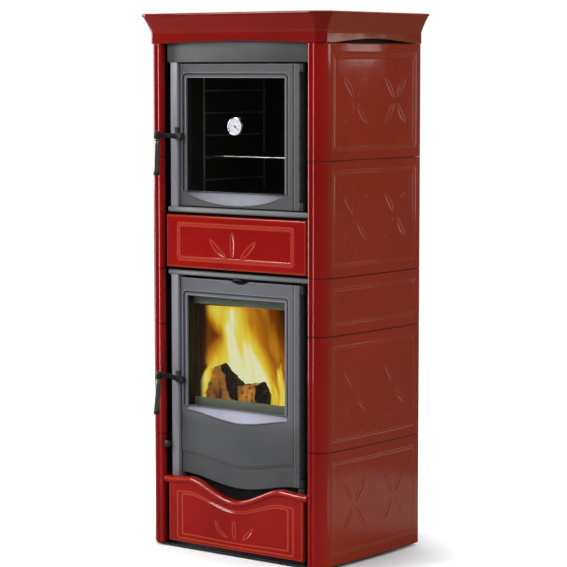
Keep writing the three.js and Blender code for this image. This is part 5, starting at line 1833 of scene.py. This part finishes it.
@dataclass
class RearCasing:
    """The sheet-steel casing, whose back has a pressed rim, louvres and screws."""

    rim: float = 22 * MM
    sunk: float = 1.6 * MM
    thick: float = 2.8 * MM
    fold: float = 4 * MM
    louvre_half: float = 90 * MM
    louvre_height: float = 7 * MM
    louvre_pitch: float = 24 * MM
    louvres: int = 6
    screws: int = 7

    def __post_init__(self) -> None:
        self.low, self.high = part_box("steel_casing")
        self.crease = (self.low.z + self.high.z) / 2
        span = self.louvre_pitch * (self.louvres - 1)
        starts = (self.low.z + 90 * MM, self.high.z - 110 * MM - span)
        self.rows = [start + i * self.louvre_pitch for start in starts for i in range(self.louvres)]

    def outer(self, x: Grid, z: Grid) -> Grid:
        """The pressed back as it is seen from behind."""
        low, high = self.low, self.high
        edge = np.minimum(high.x - np.abs(x), np.minimum(z - low.z, high.z - z))
        depth = self.sunk * rise(edge, self.rim, self.rim + self.fold)
        depth = depth * (1 - rise(self.rim / 2 - np.abs(z - self.crease), 0, self.fold))
        across = rise(self.louvre_half - np.abs(x), 0, 2 * self.fold)
        for row in self.rows:
            up = (z - row) / self.louvre_height
            hood = np.clip(1 - up, 0, 1) * (up > -0.15) * rise(up, -0.15, 0.05)
            depth = depth - self.sunk * 0.95 * hood * across * (depth > self.sunk * 0.5)
        return high.y - depth

    def inner(self, x: Grid, z: Grid) -> Grid:
        """The flat inside."""
        return np.full_like(x, self.high.y - self.thick - self.sunk)

    def build(self) -> None:
        """Builds the casing and its screws."""
        low, high = self.low, self.high
        folds = [0, self.rim, self.rim + self.fold]
        keys_x = [high.x - fold for fold in folds] + [self.louvre_half, self.louvre_half - 2 * self.fold]
        keys_z = [low.z + fold for fold in folds] + [high.z - fold for fold in folds]
        keys_z += [self.crease - self.rim / 2, self.crease + self.rim / 2]
        keys_z += [row + step for row in self.rows for step in (*mm(-1, -0.2, 0.4), self.louvre_height)]
        xs = grid_lines([s * key for s in (-1, 1) for key in keys_x], 6 * MM)
        shape = Shape("thin")
        shape.slab(xs, grid_lines(keys_z, 7 * MM), self.outer, self.inner)
        for side in Side:
            left, right = sorted((side.value * high.x, side.value * (high.x - 3 * MM)))
            shape.block((left, low.y, low.z), (right, high.y - self.thick - self.sunk, high.z), 0.4 * MM)
        shape.piece("steel_casing_pressed", STOVE, STEEL, ["steel_casing"], 30)
        self.add_screws()

    def add_screws(self) -> None:
        """Adds the pan-head screws round the rim."""
        shape = Shape("thin")
        head = [(0, -1.8 * MM), (3.6 * MM, -1.8 * MM), (3.6 * MM, -0.6 * MM), (2.6 * MM, 0), (0, 0)]
        for side in Side:
            x = side.value * (self.high.x - self.rim / 2)
            for z in np.linspace(self.low.z + 30 * MM, self.high.z - 30 * MM, self.screws):
                shape.turned(head, Matrix.Translation((x, self.high.y + 0.1 * MM, z)) @ turn(-90, "X"), 20)
        shape.piece("casing_screws", STOVE, SCREW, (), 40)


@dataclass
class AirControls:
    """The pull knob for the primary air and the lever for the secondary air."""

    radius: float = 10 * MM
    plate_half: Pair = (11 * MM, 22 * MM)
    plate_thick: float = 3 * MM

    def build(self) -> None:
        """Builds the knob with its stem and plate, and dresses the lever."""
        low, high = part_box("primary_air_control")
        x, z = (low.x + high.x) / 2, (low.z + high.z) / 2
        forward = Matrix.Translation((x, 0, z)) @ turn(90, "X")
        front, end, radius = -low.y, -high.y, self.radius
        knob = Shape("thin")
        knob.turned([
            (0, front - 15 * MM), (7 * MM, front - 15 * MM), (7.6 * MM, front - 12 * MM),
            (6.8 * MM, front - 8.5 * MM), (radius, front - 6 * MM), (radius, front - 2 * MM),
            (radius - 1.2 * MM, front - 0.5 * MM), (5 * MM, front), (0, front),
        ], forward)
        knob.turned([(0, end), (3 * MM, end), (3 * MM, front - 14 * MM), (0, front - 14 * MM)], forward, 24)
        wide, tall = self.plate_half
        knob.block((x - wide, high.y - self.plate_thick, z - tall), (x + wide, high.y, z + tall), 0.5 * MM)
        knob.piece("primary_air_knob_turned", "primary_air", STEEL, ["primary_air_control"], 45)
        refined("secondary_air_lever", "secondary_air", STEEL, 0.8 * MM)


@dataclass(frozen=True)
class SoftBox:
    """A lamp: its name, place, the point it faces, its width and height, and its watts."""

    name: str
    spot: Triple
    aim: Triple
    size: Pair
    watts: float

    def hang(self) -> None:
        """Adds the lamp to the scene."""
        data = bpy.data.lights.new(self.name, "AREA")
        data.shape = "RECTANGLE"
        data.size, data.size_y = self.size
        data.energy = self.watts
        way = (Vector(self.aim) - Vector(self.spot)).to_track_quat("-Z", "Y")
        made = add_object(self.name, data)
        made.matrix_world = Matrix.Translation(self.spot) @ way.to_matrix().to_4x4()


@dataclass
class Studio:
    """The floor, the lights and the camera of a plain studio.

    The floor turns white to the camera across two distances, measured on a floor that is stretched. Mirrored
    colours, the pale card on the floor and the white sweep show in reflections only.
    """

    eye: Triple = (3.714, -4.695, 1.290)
    yaw: float = 38.22
    pitch: float = 5.47
    roll: float = 0.026
    lens: float = 141.76
    floor_half: float = 14.0
    floor_grey: Colour = (0.80, 0.80, 0.80, 1)
    floor_mirrored: Colour = (0.12, 0.11, 0.10, 1)
    floor_stretch: Triple = (3.0, 4.0, 0)
    floor_white: Pair = (0.9, 1.9)
    floor_glow: float = 0.52
    card_spot: Triple = (0.75, 0.7, 0)
    card_edge: Pair = (0.3, 0.6)
    card_share: float = 0.75
    sweep_toward: Triple = (-0.62, 0.78, 0.0)
    sweep_edge: Pair = (0.3, 0.62)
    ambient: Colour = (0.62, 0.63, 0.66, 1)
    ambient_mirrored: Colour = (0.035, 0.032, 0.03, 1)
    lamps: tuple[SoftBox, ...] = (
        SoftBox("key", (-1.9, -3.0, 2.6), (0, 0, 0.8), (1.2, 1.8), 95),
        SoftBox("fill", (3.2, -1.2, 2.2), (0, 0, 0.7), (1.4, 1.4), 22),
        SoftBox("top", (0.2, -0.4, 3.6), (0, 0, 1.0), (2.0, 2.0), 40),
        SoftBox("left strip", (-3.0, -1.0, 1.1), (0, 0, 0.8), (0.9, 2.4), 84),
        SoftBox("window", (2.8, 3.1, 1.38), (0, 0, 1.38), (0.5, 0.10), 0.5),
    )

    def camera(self) -> None:
        """Makes the camera at the viewing angle of the photograph."""
        data = bpy.data.cameras.new("camera")
        data.sensor_width = 36.0
        data.lens = self.lens
        data.clip_start = 0.1
        data.clip_end = 100
        aim = turn(self.yaw, "Z") @ turn(90 - self.pitch, "X") @ turn(-self.roll, "Z")
        made = add_object("camera", data)
        made.matrix_world = Matrix.Translation(self.eye) @ aim
        bpy.context.scene.camera = made

    def floor(self) -> None:
        """Lays the pale floor, which shows white to the camera and keeps the stove's shadow."""
        bm = bmesh.new()
        bmesh.ops.create_grid(bm, x_segments=1, y_segments=1, size=self.floor_half)
        mesh = bpy.data.meshes.new("floor")
        bm.to_mesh(mesh)
        bm.free()
        made = add_object("floor", mesh)
        shader = Shader(bpy.data.materials.new("pale floor"))
        mirrored = shader.ray("Glossy")
        far = shader.measure("LENGTH", shader.place(self.floor_stretch))
        card = 1.0 - shader.measure("DISTANCE", shader.place(), self.card_spot).step(*self.card_edge)
        glow = shader.ray("Camera") * far.step(*self.floor_white) + mirrored * card * self.card_share
        mesh.materials.append(shader.finish(shader.node("BsdfPrincipled", {
            "Base Color": shader.mix(mirrored, self.floor_grey, self.floor_mirrored),
            "Roughness": 0.8,
            "Specular IOR Level": 0.1,
            "Emission Color": shader.mix(glow, BLACK, WHITE),
            "Emission Strength": self.floor_glow,
        })))

    def world(self) -> None:
        """Sets the soft ambient light and the white sweep behind the stove."""
        made = bpy.data.worlds.new("studio")
        bpy.context.scene.world = made
        shader = Shader(made)
        mirrored = shader.ray("Glossy")
        way = shader.node("TexCoord", output="Generated")
        sweep = shader.measure("DOT_PRODUCT", way, self.sweep_toward).step(*self.sweep_edge)
        white = (shader.ray("Camera") + shader.ray("Transmission") + mirrored * sweep).step(0.0, 1.0)
        colour = shader.mix(white, shader.mix(mirrored, self.ambient, self.ambient_mirrored), WHITE)
        shader.node("OutputWorld", {0: shader.node("Background", {0: colour, 1: 1.0})})

    def build(self) -> None:
        """Sets up the whole studio."""
        self.camera()
        self.floor()
        self.world()
        for lamp in self.lamps:
            lamp.hang()
        bpy.context.scene.view_settings.view_transform = "Standard"


def dress_nodes() -> None:
    """Gives every node that still shows the finish of its slot."""
    slots = {part["node"]: Slot(part["material_slot"]) for part in frame["record"]["subparts"]}
    for name, node in frame["nodes"].items():
        node.data.materials.clear()
        node.data.materials.append(NODE_FINISHES[slots[name]].material())


def main() -> None:
    """Builds the stove's looks around the frame."""
    logging.basicConfig(level=logging.INFO, format="%(message)s")
    dress_nodes()
    builders = [
        TiledSides(), Cornice(), MiddleTile(), SkirtTile(), CastDoor("oven", GREY_IRON, lens=35 * MM),
        CastDoor("fire", DARK_IRON, shine=1.0, rails=0.14, dip=24.5 * MM, band=57 * MM, notch=9 * MM),
        DoorHandle("oven"), DoorHandle("fire", tilt=3.0, climb=13 * MM), Thermometer(), Fire(), Ironwork(),
        RearCasing(), OvenFittings(), AirControls(), Studio(),
    ]
    for builder in builders:
        builder.build()


if __name__ == "__main__":
    main()
